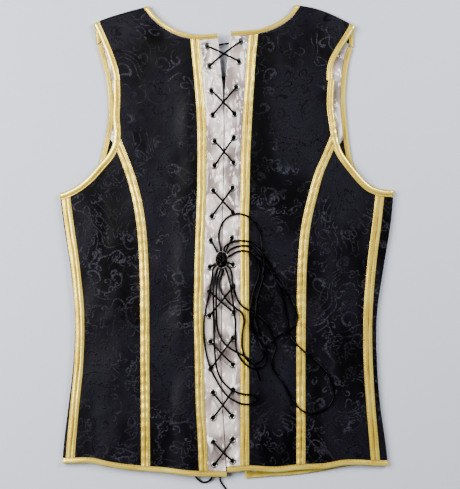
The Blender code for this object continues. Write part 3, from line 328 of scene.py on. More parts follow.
# The cord: the steps along it for each kind of run, its roundness, and the weights that even
# out its heights
CORD_STEP = 2.0
HELD_STEP = 1.0
HEM_STEP = 1.5
MEASURED_STEP = 1.5
CORD_BEVEL = 3
CORD_BLUR = [0.1, 0.2, 0.4, 0.2, 0.1]
# The seams whose tapes a loose cord crosses, as columns of BACK_SEAMS, and a tape's rise
CORD_TAPES = (2, 5, 6)
TAPE_RISE = 1.4
# Room under a loose cord and at its ends, the steepest slope and the length of a flat top
CORD_REST = 0.6
CORD_END_GAP = 0.5
CORD_SLOPE = 0.32
CORD_FLAT = 5.0
# Heights of a laced run outside and inside the panel, in an eyelet and at a crossing
OUT_ROOM = 0.15
IN_ROOM = 0.05
OUT_Z = LACING_RISE + WALL + GAP + LACE / 2.0 + OUT_ROOM
IN_Z = LACING_RISE - GAP - LACE / 2.0 - IN_ROOM
HOLE_Z = LACING_RISE + WALL / 2.0
CROSS_RISE = LACE + GAP
CROWN_SHARES = (0.43, 0.57)
KNOT_MIDDLE_Z = LACING_RISE + WALL + GAP + KNOT_SIZE[2] / 2.0
KNOT_ENTRY_Z = KNOT_MIDDLE_Z - 1.5
HEM_LOOP = [(-17.8, -296.3, IN_Z), (-18.5, -305.0, 5.6), (-21.0, -311.5, 3.2),
            (-26.0, -315.5, 1.8), (-32.0, -316.0, 1.6), (-37.5, -312.5, 2.8),
            (-41.5, -306.0, 5.2), (-44.0, -298.0, 5.6), (-46.0, -287.0, 4.8)]
HEM_TAIL = [(4.4, -291.4, IN_Z), (-3.0, -299.5, 6.0), (-7.5, -306.0, 5.2),
            (-9.0, -312.0, 3.4), (-6.5, -318.0, 1.9), (-2.5, -323.5, 1.6), (1.0, -329.5, 1.6)]
# How a cord is laid over itself: reach of a slope, the length after which it can meet itself
# again, and how often the heights are worked out anew
CORD_SLOPE_STEPS = 40
CORD_SELF_REACH = 4.0 * LACE
LAY_PASSES = 4

# Sections of tape and binding: share of the width, height above the cloth, tone (1 is the palest)
# The tone is painted light: a painted highlight on the ridges, painted shade in the grooves and at
# the rolled edges
TAPE_SECTION = [(0.0, 0.45, 0.0), (0.03, 0.95, 0.3), (0.07, 1.25, 0.8), (0.12, 1.00, 0.1),
                (0.18, 1.30, 0.6), (0.28, 1.62, 0.7), (0.40, 1.58, 0.5), (0.50, 1.34, 0.35),
                (0.57, 1.18, 0.0), (0.64, 1.48, 0.7), (0.74, 1.66, 1.0), (0.82, 1.40, 0.7),
                (0.88, 1.02, 0.1), (0.93, 1.28, 1.0), (0.97, 0.95, 0.5), (1.0, 0.45, 0.0)]
BINDING_SECTION = [(0.0, -1.30, 0.0), (0.03, -0.60, 0.2), (0.09, 0.15, 0.6), (0.20, 0.70, 1.0),
                   (0.34, 0.98, 0.9), (0.50, 0.86, 0.5), (0.62, 0.70, 0.4), (0.72, 0.48, 0.5),
                   (0.80, 0.12, 0.0), (0.88, 0.50, 0.8), (0.95, 0.40, 0.6), (1.0, -0.10, 0.0)]
TAPE_STITCH_ROWS = (3, 12)
BINDING_STITCH_ROW = 8
STITCH_LENGTH = 2.7
STITCH_PITCH = 4.1
STITCH_RADIUS = 0.34
STITCH_LIFT = 0.12
STITCH_SIDES = 6
# A stitch as a spindle: share of its length from the middle, share of its radius
SPINDLE = [(-0.5, 0.25), (-0.36, 0.9), (0.0, 1.0), (0.36, 0.9), (0.5, 0.25)]

# Turned metal eyelet, a closed profile: distance from the middle and height above the panel
EYELET_SECTION = [(2.55, -2.2), (2.55, 0.25), (2.75, 0.62), (3.15, 0.85), (3.65, 0.82),
                  (4.20, 0.62), (4.62, 0.30), (4.72, 0.0), (4.55, -0.10), (3.3, -0.10),
                  (3.1, -2.2)]
EYELET_TURNS = 28
EYELET_LIFT = 0.25
PANEL_HOLE = 3.5

# The centre front edge binding: how far its rim rounds off, its wall and its tone
FRONT_EDGE_ROUND = 0.5
FRONT_EDGE_WALL = 1.8
FRONT_EDGE_TONE = 0.6

# Points across and along each kind of cloth
CENTER_GRID = (46, 210)
BACK_SIDE_GRID = (34, 150)
YOKE_COLUMNS = 48
YOKE_RISE_ROWS = 26
YOKE_NECK_ROWS = 34
SIDE_ROWS = 150
SIDE_UPPER_COLUMNS = 7
SIDE_COLUMNS = 26
FRONT_GRID = (26, 90)
LINING_GRID = (40, 170)
PANEL_GRID = (25, 520)
ARC_STEPS = 10
TAPE_ROWS = 300
BINDING_ROWS = 190
SHORT_ROWS = 70
FRONT_END_ROWS = 6
FRONT_EDGE_COLUMNS = 9
LINE_STEP = 2.0
CLOTH_OVERRUN = 8.0
SHOULDER_OVERRUN = 4.0
YOKE_OVERRUN = 12.0
FRONT_BINDING_START = 4.5
# Points of a front line that are left out next to a fold, so that the strip leaves it smoothly
ARMHOLE_SKIP = 6
NECK_SKIP = 4
HEM_SKIP = 4
# The gap of the closed yoke seam
YOKE_SEAM = 0.04
# A share of the first and last cell, kept at the rim so that its edge stays crisp
RIM_SHARE = 0.04
# How far a tape's section wanders along it, as a share of its width
WANDER = 0.022
# Line width of a palmette, and the share of the figures that are palmettes
PALMETTE_LINE = 1.2
PALMETTE_SHARE = 0.45

# The table, the room's light, and the lamps as name, place, aim, size and power
TABLE_COLOR = "c4c9d3"
TABLE_HALF = 9.0
TABLE_DROP = 0.0004
ROOM_COLOR = "dfe3ea"
ROOM_LIGHT = 0.18
LAMPS = [("window_light", (1.05, 0.75, 1.15), (0.0, 0.0, 0.0), 0.6, 31.0),
         ("fill_light", (-1.15, 0.35, 1.25), (-0.15, 0.0, 0.0), 1.2, 70.0)]

# Colours of the brocade: its ground in painted shade and in painted sheen where the light takes it,
# and its figures, dark on the lit ground and pale under a painted sheen
CLOTH_BLACK = "020203"
CLOTH_LIT = "18171f"
FIGURE_DARK = "010101"
FIGURE_PALE = "2f2e37"
# Its figures: cell of the scattered pattern and reach of one figure in mm, turns, seed
LARGE_FIGURES = (31.0, 15.0, 1.25, 0.53)
SMALL_FIGURES = (18.0, 8.0, 1.1, 1.91)
BROAD_FIGURES = (27.0, 13.0, 0.7, 2.9)
# Its stems: size of their bends in mm, level lines from the lowest to the highest noise, half
# a stem's width as a share of the way between two lines, seed
STEM_LINES = (60.0, 8.0, 0.10, 0.83)
# Where the larger figures take over, in metres above the plan's middle line
UPPER_CLOTH = (0.10, 0.22)
# Where the painted sheen's slow noise is read from, which sets the place of its lit patches
PAINTED_SHEEN_SHIFT = (0.0, 0.05, 0.0)
# Satin in painted light, in painted shade and with a painted highlight on a crest, and the size of
# its wrinkles
SATIN_LIGHT = "d9cbc5"
SATIN_SHADE = "8c7e7a"
SATIN_CREST_HIGHLIGHT = "fffaf5"
SATIN_WRINKLE = 14.0
# The cord's yarn, the eyelets' metal and the sewing thread
CORD_BLACK = "020203"
NICKEL_GREY = "a8a49e"
THREAD_GOLD = "c9a24e"
# Gold of the tape: painted shade in its grooves, its own gold on its flanks, a painted highlight on
# its ridges
TAPE_GROOVE_SHADE = "68521a"
TAPE_FLANK = "dcb93a"
TAPE_RIDGE_HIGHLIGHT = "ffef78"


def smooth(points, step=LINE_STEP):
    """A curve through the points, with tangents from each point's neighbours."""
    knots = np.array(points, float)
    reach = np.concatenate([[0.0], np.cumsum(np.linalg.norm(np.diff(knots, axis=0), axis=1))])
    slope = np.gradient(knots, reach, axis=0)
    places = np.linspace(0.0, reach[-1], max(2, int(math.ceil(reach[-1] / step)) + 1))
    span = np.clip(np.searchsorted(reach, places, side="right") - 1, 0, len(knots) - 2)
    length = (reach[span + 1] - reach[span])[:, None]
    u = (places - reach[span])[:, None] / length
    return ((2 * u**3 - 3 * u**2 + 1) * knots[span] + (u**3 - 2 * u**2 + u) * length * slope[span]
            + (3 * u**2 - 2 * u**3) * knots[span + 1] + (u**3 - u**2) * length * slope[span + 1])


def resample(line, count):
    """The same line with this many points, evenly spaced along it."""
    reach = np.concatenate([[0.0], np.cumsum(np.linalg.norm(np.diff(line, axis=0), axis=1))])
    places = np.linspace(0.0, reach[-1], count)
    return np.stack([np.interp(places, reach, line[:, k]) for k in range(line.shape[1])], axis=1)


def inset(line, distance, toward):
    """The line moved sideways by a distance, to the side where the point `toward` lies."""
    tangent = np.gradient(line, axis=0)
    tangent /= np.linalg.norm(tangent, axis=1)[:, None]
    normal = np.stack([-tangent[:, 1], tangent[:, 0]], axis=1)
    middle = len(line) // 2
    side = np.sign(np.dot(np.array(toward) - line[middle], normal[middle]))
    return line + side * distance * normal


def extend(line, distance):
    """The line with a straight piece added at both ends."""
    first = (line[0] - line[1]) / np.linalg.norm(line[0] - line[1])
    last = (line[-1] - line[-2]) / np.linalg.norm(line[-1] - line[-2])
    return np.concatenate([line[:1] + first * distance, line, line[-1:] + last * distance])


def crossing(line, other):
    """The place along `line`, as a point number with a fraction, where `other` first meets it."""
    start = line[:-1, None, :]
    way = (line[1:] - line[:-1])[:, None, :]
    other_start = other[None, :-1, :]
    other_way = (other[1:] - other[:-1])[None, :, :]
    cross = way[..., 0] * other_way[..., 1] - way[..., 1] * other_way[..., 0]
    cross = np.where(np.abs(cross) < 1e-12, 1e-12, cross)
    apart = other_start - start
    here = (apart[..., 0] * other_way[..., 1] - apart[..., 1] * other_way[..., 0]) / cross
    there = (apart[..., 0] * way[..., 1] - apart[..., 1] * way[..., 0]) / cross
    found = np.argwhere((here >= 0) & (here <= 1) & (there >= 0) & (there <= 1))
    first = found[0]
    return first[0] + here[first[0], first[1]]


def nearest(line, point):
    """The place along `line`, as a point number with a fraction, nearest to a point."""
    way = line[1:] - line[:-1]
    share = np.sum((point - line[:-1]) * way, axis=1) / np.sum(way * way, axis=1)
    share = np.clip(share, 0.0, 1.0)
    away = np.linalg.norm(line[:-1] + share[:, None] * way - point, axis=1)
    best = int(np.argmin(away))
    return best + share[best]


def stretch(line, begin, end):
    """The part of a line between two places, turned round where end comes before begin."""
    low, high = min(begin, end), max(begin, end)
    inside = np.arange(math.floor(low) + 1, math.ceil(high))
    places = np.concatenate([[low], inside, [high]])
    numbers = np.arange(len(line))
    part = np.stack([np.interp(places, numbers, line[:, k]) for k in range(2)], axis=1)
    return part if begin <= end else part[::-1]


def cut(line, begin, end):
    """The part of a line between the two lines that cross it."""
    return stretch(line, crossing(line, begin), crossing(line, end))


def between(line, begin, end):
    """The part of a line between the places nearest to two points."""
    return stretch(line, nearest(line, begin), nearest(line, end))


def fill(left, right, low, high):
    """A grid of points that fills four edge lines, blended evenly from all of them."""
    left, right, low, high = left[None], right[None], low[:, None], high[:, None]
    s = np.linspace(0.0, 1.0, low.shape[0])[:, None, None]
    t = np.linspace(0.0, 1.0, left.shape[1])[None, :, None]
    corners = ((1 - s) * (1 - t) * left[:, :1] + s * (1 - t) * right[:, :1]
               + (1 - s) * t * left[:, -1:] + s * t * right[:, -1:])
    return (1 - s) * left + s * right + (1 - t) * low + t * high - corners


def patch(left, right, low, high, across, up):
    """The same from edge lines that are first divided evenly."""
    return fill(resample(left, up), resample(right, up), resample(low, across),
                resample(high, across))


def ease(share):
    """Zero below 0, one above 1 and a soft slope between."""
    share = np.clip(share, 0.0, 1.0)
    return share * share * (3.0 - 2.0 * share)


def column(table, number):
    """One column of a table of rows as an (x, y) line."""
    rows = np.array(table, float)
    return smooth(np.stack([rows[:, number], rows[:, 0]], axis=1))


def aside(line, distance):
    """The line moved along X."""
    return line + np.array([distance, 0.0])


def side_fold(side, y):
    """The x of a side fold at a height y."""
    rows = np.array(SIDES, float)
    return np.interp(y, rows[:, 0], rows[:, 1 if side == "l" else 4])


def shoulder_y(x):
    """The y of the shoulder fold over a place x."""
    rows = np.array(SHOULDER["l"] + SHOULDER["r"], float)
    return np.interp(x, rows[:, 0], rows[:, 1])


def relief(table, x, y):
    """Soft ridges and troughs: a bell curve across each line of the table, faded at its ends."""
    total = np.zeros(np.shape(x))
    for x_high, y_high, x_low, y_low, half_width, height in table:
        way = np.array([x_low - x_high, y_low - y_high], float)
        length = np.hypot(*way)
        along = ((x - x_high) * way[0] + (y - y_high) * way[1]) / length**2
        away = ((x - x_high) * way[1] - (y - y_high) * way[0]) / length
        fade = ease(np.minimum(along, 1.0 - along) / FADE_SHARE)
        total = total + height * fade * np.exp(-(away / half_width) ** 2)
    return total


def swell(x, y):
    """A sum of plane waves, each a sine of x and y times its turns a metre."""
    total = np.zeros(np.shape(x))
    for turns_x, turns_y, phase, height in SWELLS:
        total = total + height * np.sin(2 * math.pi * MM * (turns_x * x + turns_y * y) + phase)
    return total


def pucker(x, y):
    """Short waves along each seam, sine of y, dying away exponentially with distance from it."""
    rows = np.array(BACK_SEAMS, float)
    total = np.zeros(np.shape(x))
    for number, wave, phase, height in PUCKERS:
        away = x - np.interp(y, rows[:, 0], rows[:, number])
        slant = y + PUCKER_SLANT * np.abs(away)
        slant = slant + PUCKER_DRIFT * np.sin(y / PUCKER_DRIFT_LENGTH + phase)
        total = total + (height * np.sin(2 * math.pi * slant / wave + phase)
                         * np.exp(-np.abs(away) / PUCKER_REACH))
    return total


def top(x, y):
    """The height of the upper face of the back cloth: its rise, folds, creases and puckers."""
    x, y = np.asarray(x, float), np.asarray(y, float)
    from_side = np.minimum(x - side_fold("l", y), side_fold("r", y) - x)
    from_edge = np.minimum(from_side, shoulder_y(x) - y)
    rise = EDGE_RISE + (BODY_RISE - EDGE_RISE) * ease(from_edge / EDGE_SOFTNESS)
    reach = LACING_FLAT + LACING_SLOPE - np.abs(x - LACING_MIDDLE)
    rise = rise + (LACING_RISE - rise) * ease(reach / LACING_SLOPE)
    from_lacing = np.abs(x - LACING_MIDDLE) - CALM_LACING
    calm = ease(from_edge / CALM_EDGE) * ease(from_lacing / CALM_SLOPE)
    soft = relief(CREASES, x, y) + swell(x, y) + pucker(x, y)
    return rise + WALL + relief(FOLDS, x, y) + calm * soft


def outer_top(x, y):
    """The upper face with the round of the side folds, for what lies across a fold's edge."""
    over = np.minimum(x - side_fold("l", y), side_fold("r", y) - x)
    beyond = np.clip(FOLD_RADIUS - over, 0.0, FOLD_RADIUS)
    return top(x, y) - FOLD_RADIUS + np.sqrt(FOLD_RADIUS**2 - beyond**2)


def lift(points, height):
    """The flat points with a height added, as (x, y, z)."""
    return np.concatenate([points, np.broadcast_to(height, points.shape[:-1])[..., None]], axis=-1)


def place(points):
    """Plan millimetres to metres in the part's frame."""
    moved = np.array(points, float)
    moved[..., 0] += CENTER_SHIFT[0]
    moved[..., 1] += CENTER_SHIFT[1]
    return moved * MM


def lines_of(side):
    """The seam, fold and edge lines of one half of the vest that its pieces share."""
    left = side == "l"
    away = -1.0 if left else 1.0
    lines = {}
    lines["princess"] = column(BACK_SEAMS, 1 if left else 6)
    lines["center"] = column(BACK_SEAMS, 2 if left else 5)
    lines["slit"] = column(BACK_SEAMS, 3 if left else 4)
    lines["side"] = column(SIDES, 2 if left else 3)
    fold = column(SIDES, 1 if left else 4)
    body = (away * 70.0, -60.0)
    lines["fold"] = fold - np.array([away * FOLD_RADIUS, 0.0])
    shoulder = smooth(SHOULDER[side])
    lines["shoulder"] = extend(inset(shoulder, FOLD_RADIUS, body), SHOULDER_OVERRUN)
    lines["front_yoke"] = extend(inset(lines["shoulder"], FRONT_YOKE_DEPTH, body), YOKE_OVERRUN)
    for name, table, width in (("neck", NECK, NECK_WIDTH),
                               ("yoke_armhole", YOKE_ARMHOLE, YOKE_WIDTH),
                               ("armhole", BACK_ARMHOLE, ARMHOLE_WIDTH),
                               ("hem", BACK_HEM, HEM_WIDTH),
                               ("front_neck", FRONT_NECK, NECK_WIDTH),
                               ("front_armhole", FRONT_ARMHOLE, FRONT_ARMHOLE_WIDTH),
                               ("front_hem", FRONT_HEM, HEM_WIDTH)):
        outer = smooth(table[side])
        toward = (away * 100.0, 150.0) if "neck" in name else body
        toward = (0.0, 60.0) if "armhole" in name else toward
        lines[name] = outer
        lines[name + "_inner"] = inset(outer, width, toward)
        gap = GAP if "hem" in name else CURVE_GAP
        lines[name + "_cloth"] = extend(inset(outer, width + gap, toward), CLOTH_OVERRUN)
    lines["front_princess"] = smooth(FRONT_PRINCESS[side])
    lines["front_edge"] = smooth(FRONT_EDGE)
    lines["yoke_seam"] = np.array([(-240.0, YOKE_SEAM_Y), (240.0, YOKE_SEAM_Y)])
    return lines, away


def linear(hex_color):
    """An sRGB colour written as six hex digits, as linear red, green, blue and alpha."""
    shown = np.array([int(hex_color[k:k + 2], 16) for k in (0, 2, 4)]) / 255.0
    light = np.where(shown <= 0.04045, shown / 12.92, ((shown + 0.055) / 1.055) ** 2.4)
    return (*light, 1.0)


def add(tree, kind, inputs=(), **fields):
    """Adds a shader node, sets its fields, and links or fills its inputs."""
    made = tree.nodes.new(kind)
    for field, value in fields.items():
        setattr(made, field, value)
    for socket_name, value in dict(inputs).items():
        socket = made.inputs[socket_name]
        if isinstance(value, bpy.types.NodeSocket):
            tree.links.new(value, socket)
        else:
            socket.default_value = value
    return made


def new_material(name, **constants):
    """A material with one main shader, whose plain sockets take these values."""
    material = bpy.data.materials.new(name)
    material.use_nodes = True
    tree = material.node_tree
    shader = tree.nodes["Principled BSDF"]
    for socket_name, value in constants.items():
        shader.inputs[socket_name.replace("_", " ")].default_value = value
    return material, tree, shader


def math_node(tree, operation, first, second=0.0, third=0.0):
    """One arithmetic step on numbers or sockets."""
    return add(tree, "ShaderNodeMath", {0: first, 1: second, 2: third},
               operation=operation).outputs[0]


def steps(tree, value, low, high, to_low=0.0, to_high=1.0):
    """A soft step: the value from low to high becomes to_low to to_high."""
    inputs = {"Value": value, "From Min": low, "From Max": high, "To Min": to_low,
              "To Max": to_high}
    return add(tree, "ShaderNodeMapRange", inputs, interpolation_type="SMOOTHSTEP").outputs[0]


def mixed(tree, share, first, second):
    """A colour between two colours or sockets."""
    node = add(tree, "ShaderNodeMix", {0: share}, data_type="RGBA")
    for socket, value in ((node.inputs[6], first), (node.inputs[7], second)):
        if isinstance(value, bpy.types.NodeSocket):
            tree.links.new(value, socket)
        else:
            socket.default_value = value
    return node.outputs[2]


def times(tree, first, second):
    """The product of two values."""
    return math_node(tree, "MULTIPLY", first, second)


def cut_place(tree):
    """Where a point lies on the flat cut cloth, in metres."""
    return add(tree, "ShaderNodeUVMap", uv_map="cut").outputs[0]


def cloth_noise(tree, spot, scale, detail, distortion=0.0, output=0):
    """Flat noise from 0 to 1, with scale as its bends to a metre."""
    inputs = {"Vector": spot, "Scale": scale, "Detail": detail, "Distortion": distortion}
    return add(tree, "ShaderNodeTexNoise", inputs, noise_dimensions="2D").outputs[output]


def relief_bump(tree, height, strength, distance_mm):
    """The shading normal of a relief whose height of 1 stands for the distance."""
    inputs = {"Height": height, "Strength": strength, "Distance": distance_mm * MM}
    return add(tree, "ShaderNodeBump", inputs).outputs[0]


def motifs(tree, place_on_cloth, cell_mm, reach, turns, seed):
    """Scrolls and palmettes: in each cell of a scattered pattern, one of the two.

    A scroll is the band where the angle round the cell's middle, in turns, plus the distance
    from it times `turns` over `reach`, has a fraction near one half.  A palmette is the line at
    the distance reach * (0.35 + 0.6 |sin of five half turns of that angle|), open on one side.
    """
    moved = add(tree, "ShaderNodeVectorMath", {0: place_on_cloth, 1: (seed, seed * 0.7, 0.0)},
                operation="ADD").outputs[0]
    cells = add(tree, "ShaderNodeTexVoronoi", {"Vector": moved, "Scale": 1000.0 / cell_mm,
                                               "Randomness": 0.8}, voronoi_dimensions="2D")
    local = add(tree, "ShaderNodeVectorMath", {0: moved, 1: cells.outputs["Position"]},
                operation="SUBTRACT").outputs[0]
    parts = add(tree, "ShaderNodeSeparateXYZ", {0: local})
    tint = add(tree, "ShaderNodeSeparateColor", {0: cells.outputs["Color"]})
    angle = math_node(tree, "ARCTAN2", parts.outputs[1], parts.outputs[0])
    turn = math_node(tree, "DIVIDE", angle, 2.0 * math.pi)
    hand = math_node(tree, "SIGN", math_node(tree, "SUBTRACT", tint.outputs[1], 0.5))
    turn = math_node(tree, "MULTIPLY_ADD", turn, hand, tint.outputs[0])
    distance = add(tree, "ShaderNodeVectorMath", {0: local}, operation="LENGTH").outputs["Value"]
    winding = math_node(tree, "MULTIPLY_ADD", distance, turns / (reach * MM), turn)
    band = math_node(tree, "FRACT", winding)
    band = math_node(tree, "ABSOLUTE", math_node(tree, "SUBTRACT", band, 0.5))
    width = steps(tree, distance, 0.0, reach * MM, 0.24, 0.04)
    scroll = steps(tree, math_node(tree, "SUBTRACT", width, band), 0.0, 0.05)
    scroll = times(tree, scroll, steps(tree, distance, reach * MM * 0.8, reach * MM, 1.0, 0.0))
    petal = times(tree, turn, 5.0 * math.pi)
    petal = math_node(tree, "ABSOLUTE", math_node(tree, "SINE", petal))
    edge = math_node(tree, "MULTIPLY_ADD", petal, reach * MM * 0.60, reach * MM * 0.35)
    off = math_node(tree, "ABSOLUTE", math_node(tree, "SUBTRACT", distance, edge))
    leaf = steps(tree, off, PALMETTE_LINE * 0.5 * MM, PALMETTE_LINE * MM, 1.0, 0.0)
    side = math_node(tree, "FRACT", turn)
    leaf = times(tree, leaf, steps(tree, side, 0.62, 0.70, 1.0, 0.0))
    chosen = math_node(tree, "GREATER_THAN", tint.outputs[2], PALMETTE_SHARE)
    return add(tree, "ShaderNodeMix", {0: chosen, 2: leaf, 3: scroll}).outputs[0]


def stems(tree, place_on_cloth, size_mm, count, width, seed):
    """Winding stems: bands along the level lines of a smooth noise, broken by a second noise."""
    moved = add(tree, "ShaderNodeVectorMath", {0: place_on_cloth, 1: (seed, -seed, 0.0)},
                operation="ADD").outputs[0]
    field = cloth_noise(tree, moved, 1000.0 / size_mm, 0.0, distortion=0.5)
    level = math_node(tree, "FRACT", times(tree, field, count))
    band = math_node(tree, "ABSOLUTE", math_node(tree, "SUBTRACT", level, 0.5))
    breaks = cloth_noise(tree, moved, 1400.0 / size_mm, 0.0)
    room = steps(tree, breaks, 0.40, 0.60, 0.0, width)
    near = math_node(tree, "SUBTRACT", room, band)
    return steps(tree, near, 0.0, 0.05)


def thread_bump(tree, place_on_cloth, spacing_mm, turn, height_mm, below=None):
    """Fine ribs of thread as a bump: a sine across lines at this spacing and turn."""
    turned = add(tree, "ShaderNodeMapping", {"Vector": place_on_cloth, "Rotation": (0, 0, turn)})
    ribs = add(tree, "ShaderNodeTexWave", {"Vector": turned.outputs[0],
                                           "Scale": 1000.0 / spacing_mm / 20.0,
                                           "Distortion": 0.0})
    inputs = {"Height": ribs.outputs["Fac"], "Strength": 0.6, "Distance": height_mm * MM}
    if below is not None:
        inputs["Normal"] = below
    return add(tree, "ShaderNodeBump", inputs).outputs[0]


def scrolls(tree, cloth_place):
    """Masks of the brocade's figures: the scrolls, the broad ones and where those take over."""
    bend = cloth_noise(tree, cloth_place, 45.0, 0.0, output="Color")
    bend = add(tree, "ShaderNodeVectorMath", {0: bend, 1: (0.009, 0.009, 0.0)},
               operation="MULTIPLY").outputs[0]
    drawn = add(tree, "ShaderNodeVectorMath", {0: cloth_place, 1: bend}, operation="ADD").outputs[0]
    large = motifs(tree, drawn, *LARGE_FIGURES)
    small = motifs(tree, drawn, *SMALL_FIGURES)
    stem = stems(tree, drawn, *STEM_LINES)
    up = add(tree, "ShaderNodeSeparateXYZ", {0: cloth_place}).outputs[1]
    upper = steps(tree, up, *UPPER_CLOTH)
    small = times(tree, small, steps(tree, upper, 0.0, 1.0, 1.0, 0.0))
    broad = times(tree, motifs(tree, drawn, *BROAD_FIGURES), upper)
    figure = math_node(tree, "MAXIMUM", large, math_node(tree, "MAXIMUM", stem, small))
    fray = cloth_noise(tree, cloth_place, 400.0, 2.0)
    figure = times(tree, figure, steps(tree, fray, 0.38, 0.60, 0.15, 1.0))
    return figure, broad, upper


def brocade(name):
    """Jacquard brocade, rayon on cotton: smooth floated scrolls on a duller ground.

    The floats turn lighter or darker than the ground from patch to patch, a painted sheen as
    the light takes them, and fade out in others; higher up on the cloth they are larger.
    """
    material, tree, shader = new_material(name, IOR=1.5, Specular_IOR_Level=0.07)
    cloth_place = cut_place(tree)
    figure, broad, upper = scrolls(tree, cloth_place)
    patches = cloth_noise(tree, cloth_place, 17.0, 1.0)
    long_way = add(tree, "ShaderNodeMapping", {"Vector": cloth_place, "Location": PAINTED_SHEEN_SHIFT,
                                               "Scale": (1.0, 0.45, 1.0)})
    painted_sheen_noise = cloth_noise(tree, long_way.outputs[0], 16.0, 3.0)
    # Painted sheen: slow patches of lit ground, a little more of them higher up on the cloth; the
    # figures are dark on the lit ground and pale, a painted sheen, elsewhere
    lit = steps(tree, math_node(tree, "MULTIPLY_ADD", upper, 0.10, painted_sheen_noise), 0.36, 0.70)
    pale = times(tree, figure, steps(tree, patches, 0.34, 0.64, 0.22, 1.0))
    pale = times(tree, pale, steps(tree, lit, 0.45, 0.85, 1.0, 0.0))
    pale = times(tree, pale, steps(tree, broad, 0.0, 1.0, 1.0, 0.3))
    dark = math_node(tree, "MAXIMUM", figure, broad)
    dark = times(tree, dark, steps(tree, lit, 0.25, 0.7))
    sheen_grain = cloth_noise(tree, cloth_place, 700.0, 1.0)
    # The ground goes from its painted shade to its painted sheen, broken by a fine grain
    sheen = times(tree, lit, steps(tree, sheen_grain, 0.3, 0.7, 0.45, 1.0))
    color = mixed(tree, sheen, linear(CLOTH_BLACK), linear(CLOTH_LIT))
    color = mixed(tree, times(tree, dark, 0.9), color, linear(FIGURE_DARK))
    color = mixed(tree, pale, color, linear(FIGURE_PALE))
    tree.links.new(color, shader.inputs["Base Color"])
    tree.links.new(steps(tree, pale, 0.0, 1.0, 0.38, 0.30), shader.inputs["Roughness"])
    raised = relief_bump(tree, figure, 0.5, 0.25)
    # The real threads are 0.25 mm apart; the ribs are drawn 1.1 mm apart so that they show
    weave = thread_bump(tree, cloth_place, 1.1, 0.6, 0.03, raised)
    tree.links.new(weave, shader.inputs["Normal"])
    return material


def satin(name, light, shade, highlight, wrinkle_mm, rough):
    """Polyester satin: a smooth face with long soft highlights and small pressed wrinkles.

    Its colour goes from painted shade to painted light over broad soft patches, two and a half
    wrinkles wide, and has a painted highlight on the wrinkles' crests.
    """
    material, tree, shader = new_material(name, Roughness=rough, IOR=1.5, Specular_IOR_Level=0.9)
    cloth_place = cut_place(tree)
    tall = add(tree, "ShaderNodeMapping", {"Vector": cloth_place, "Scale": (1.0, 0.62, 1.0)})
    folds = cloth_noise(tree, tall.outputs[0], 1000.0 / wrinkle_mm, 1.0, distortion=0.4)
    shaded = cloth_noise(tree, tall.outputs[0], 400.0 / wrinkle_mm, 1.0)
    # Painted shade and painted light in broad patches, then a painted highlight on the crests
    tone = mixed(tree, steps(tree, shaded, 0.36, 0.60), linear(shade), linear(light))
    tone = mixed(tree, steps(tree, folds, 0.60, 0.76), tone, linear(highlight))
    tree.links.new(tone, shader.inputs["Base Color"])
    creased = relief_bump(tree, folds, 1.0, 4.5)
    weave = thread_bump(tree, cloth_place, 0.8, 0.8, 0.03, creased)
    tree.links.new(weave, shader.inputs["Normal"])
    return material


def gold_tape(name):
    """Bias tape of gold polyester satin: a painted highlight on its ridges, painted shade in its
    stitched grooves.
    """
    material, tree, shader = new_material(name, IOR=1.5, Metallic=0.60, Specular_IOR_Level=0.3)
    cloth_place = cut_place(tree)
    tone = add(tree, "ShaderNodeAttribute", attribute_name="tone").outputs["Fac"]
    long_way = add(tree, "ShaderNodeMapping", {"Vector": cloth_place, "Scale": (1.0, 0.05, 1.0)})
    bands = cloth_noise(tree, long_way.outputs[0], 420.0, 2.0)
    spots = cloth_noise(tree, cloth_place, 70.0, 3.0)
    # Painted sheen: lengthwise light and dark bands, the same bands that raise the ridges of the
    # bump; the spots below are uneven tone of the cloth
    tone = math_node(tree, "ADD", tone, steps(tree, bands, 0.25, 0.75, -0.25, 0.25))
    tone = math_node(tree, "ADD", tone, steps(tree, spots, 0.30, 0.70, -0.10, 0.16))
    # Painted shade in the grooves and a painted highlight on the ridges, from the section's tone
    color = mixed(tree, steps(tree, tone, -0.1, 0.50), linear(TAPE_GROOVE_SHADE), linear(TAPE_FLANK))
    color = mixed(tree, steps(tree, tone, 0.45, 1.15), color, linear(TAPE_RIDGE_HIGHLIGHT))
    tree.links.new(color, shader.inputs["Base Color"])
    tree.links.new(steps(tree, tone, 0.0, 1.0, 0.46, 0.27), shader.inputs["Roughness"])
    ridges = relief_bump(tree, bands, 0.5, 0.35)
    weave = thread_bump(tree, cloth_place, 0.9, 0.78, 0.04, ridges)
    tree.links.new(weave, shader.inputs["Normal"])
    return material


def plain(name, hex_color, rough, **constants):
    """A material of one colour with a little uneven gloss from wear."""
    material, tree, shader = new_material(name, Base_Color=linear(hex_color), **constants)
    spot = add(tree, "ShaderNodeTexCoord").outputs["Object"]
    wear = add(tree, "ShaderNodeTexNoise", {"Vector": spot, "Scale": 260.0, "Detail": 3.0})
    gloss = steps(tree, wear.outputs[0], 0.3, 0.7, rough * 0.85, rough * 1.15)
    tree.links.new(gloss, shader.inputs["Roughness"])
    return material, tree, shader


def braided(name):
    """Round braided polyester cord: two sets of fine ribs that cross, on near-black yarn."""
    material, tree, shader = plain(name, CORD_BLACK, 0.20, IOR=1.5, Specular_IOR_Level=0.05)
    spot = add(tree, "ShaderNodeTexCoord").outputs["Object"]
    first = thread_bump(tree, spot, 1.0, 0.7, 0.02)
    second = thread_bump(tree, spot, 1.0, -0.7, 0.02, first)
    tree.links.new(second, shader.inputs["Normal"])
    return material


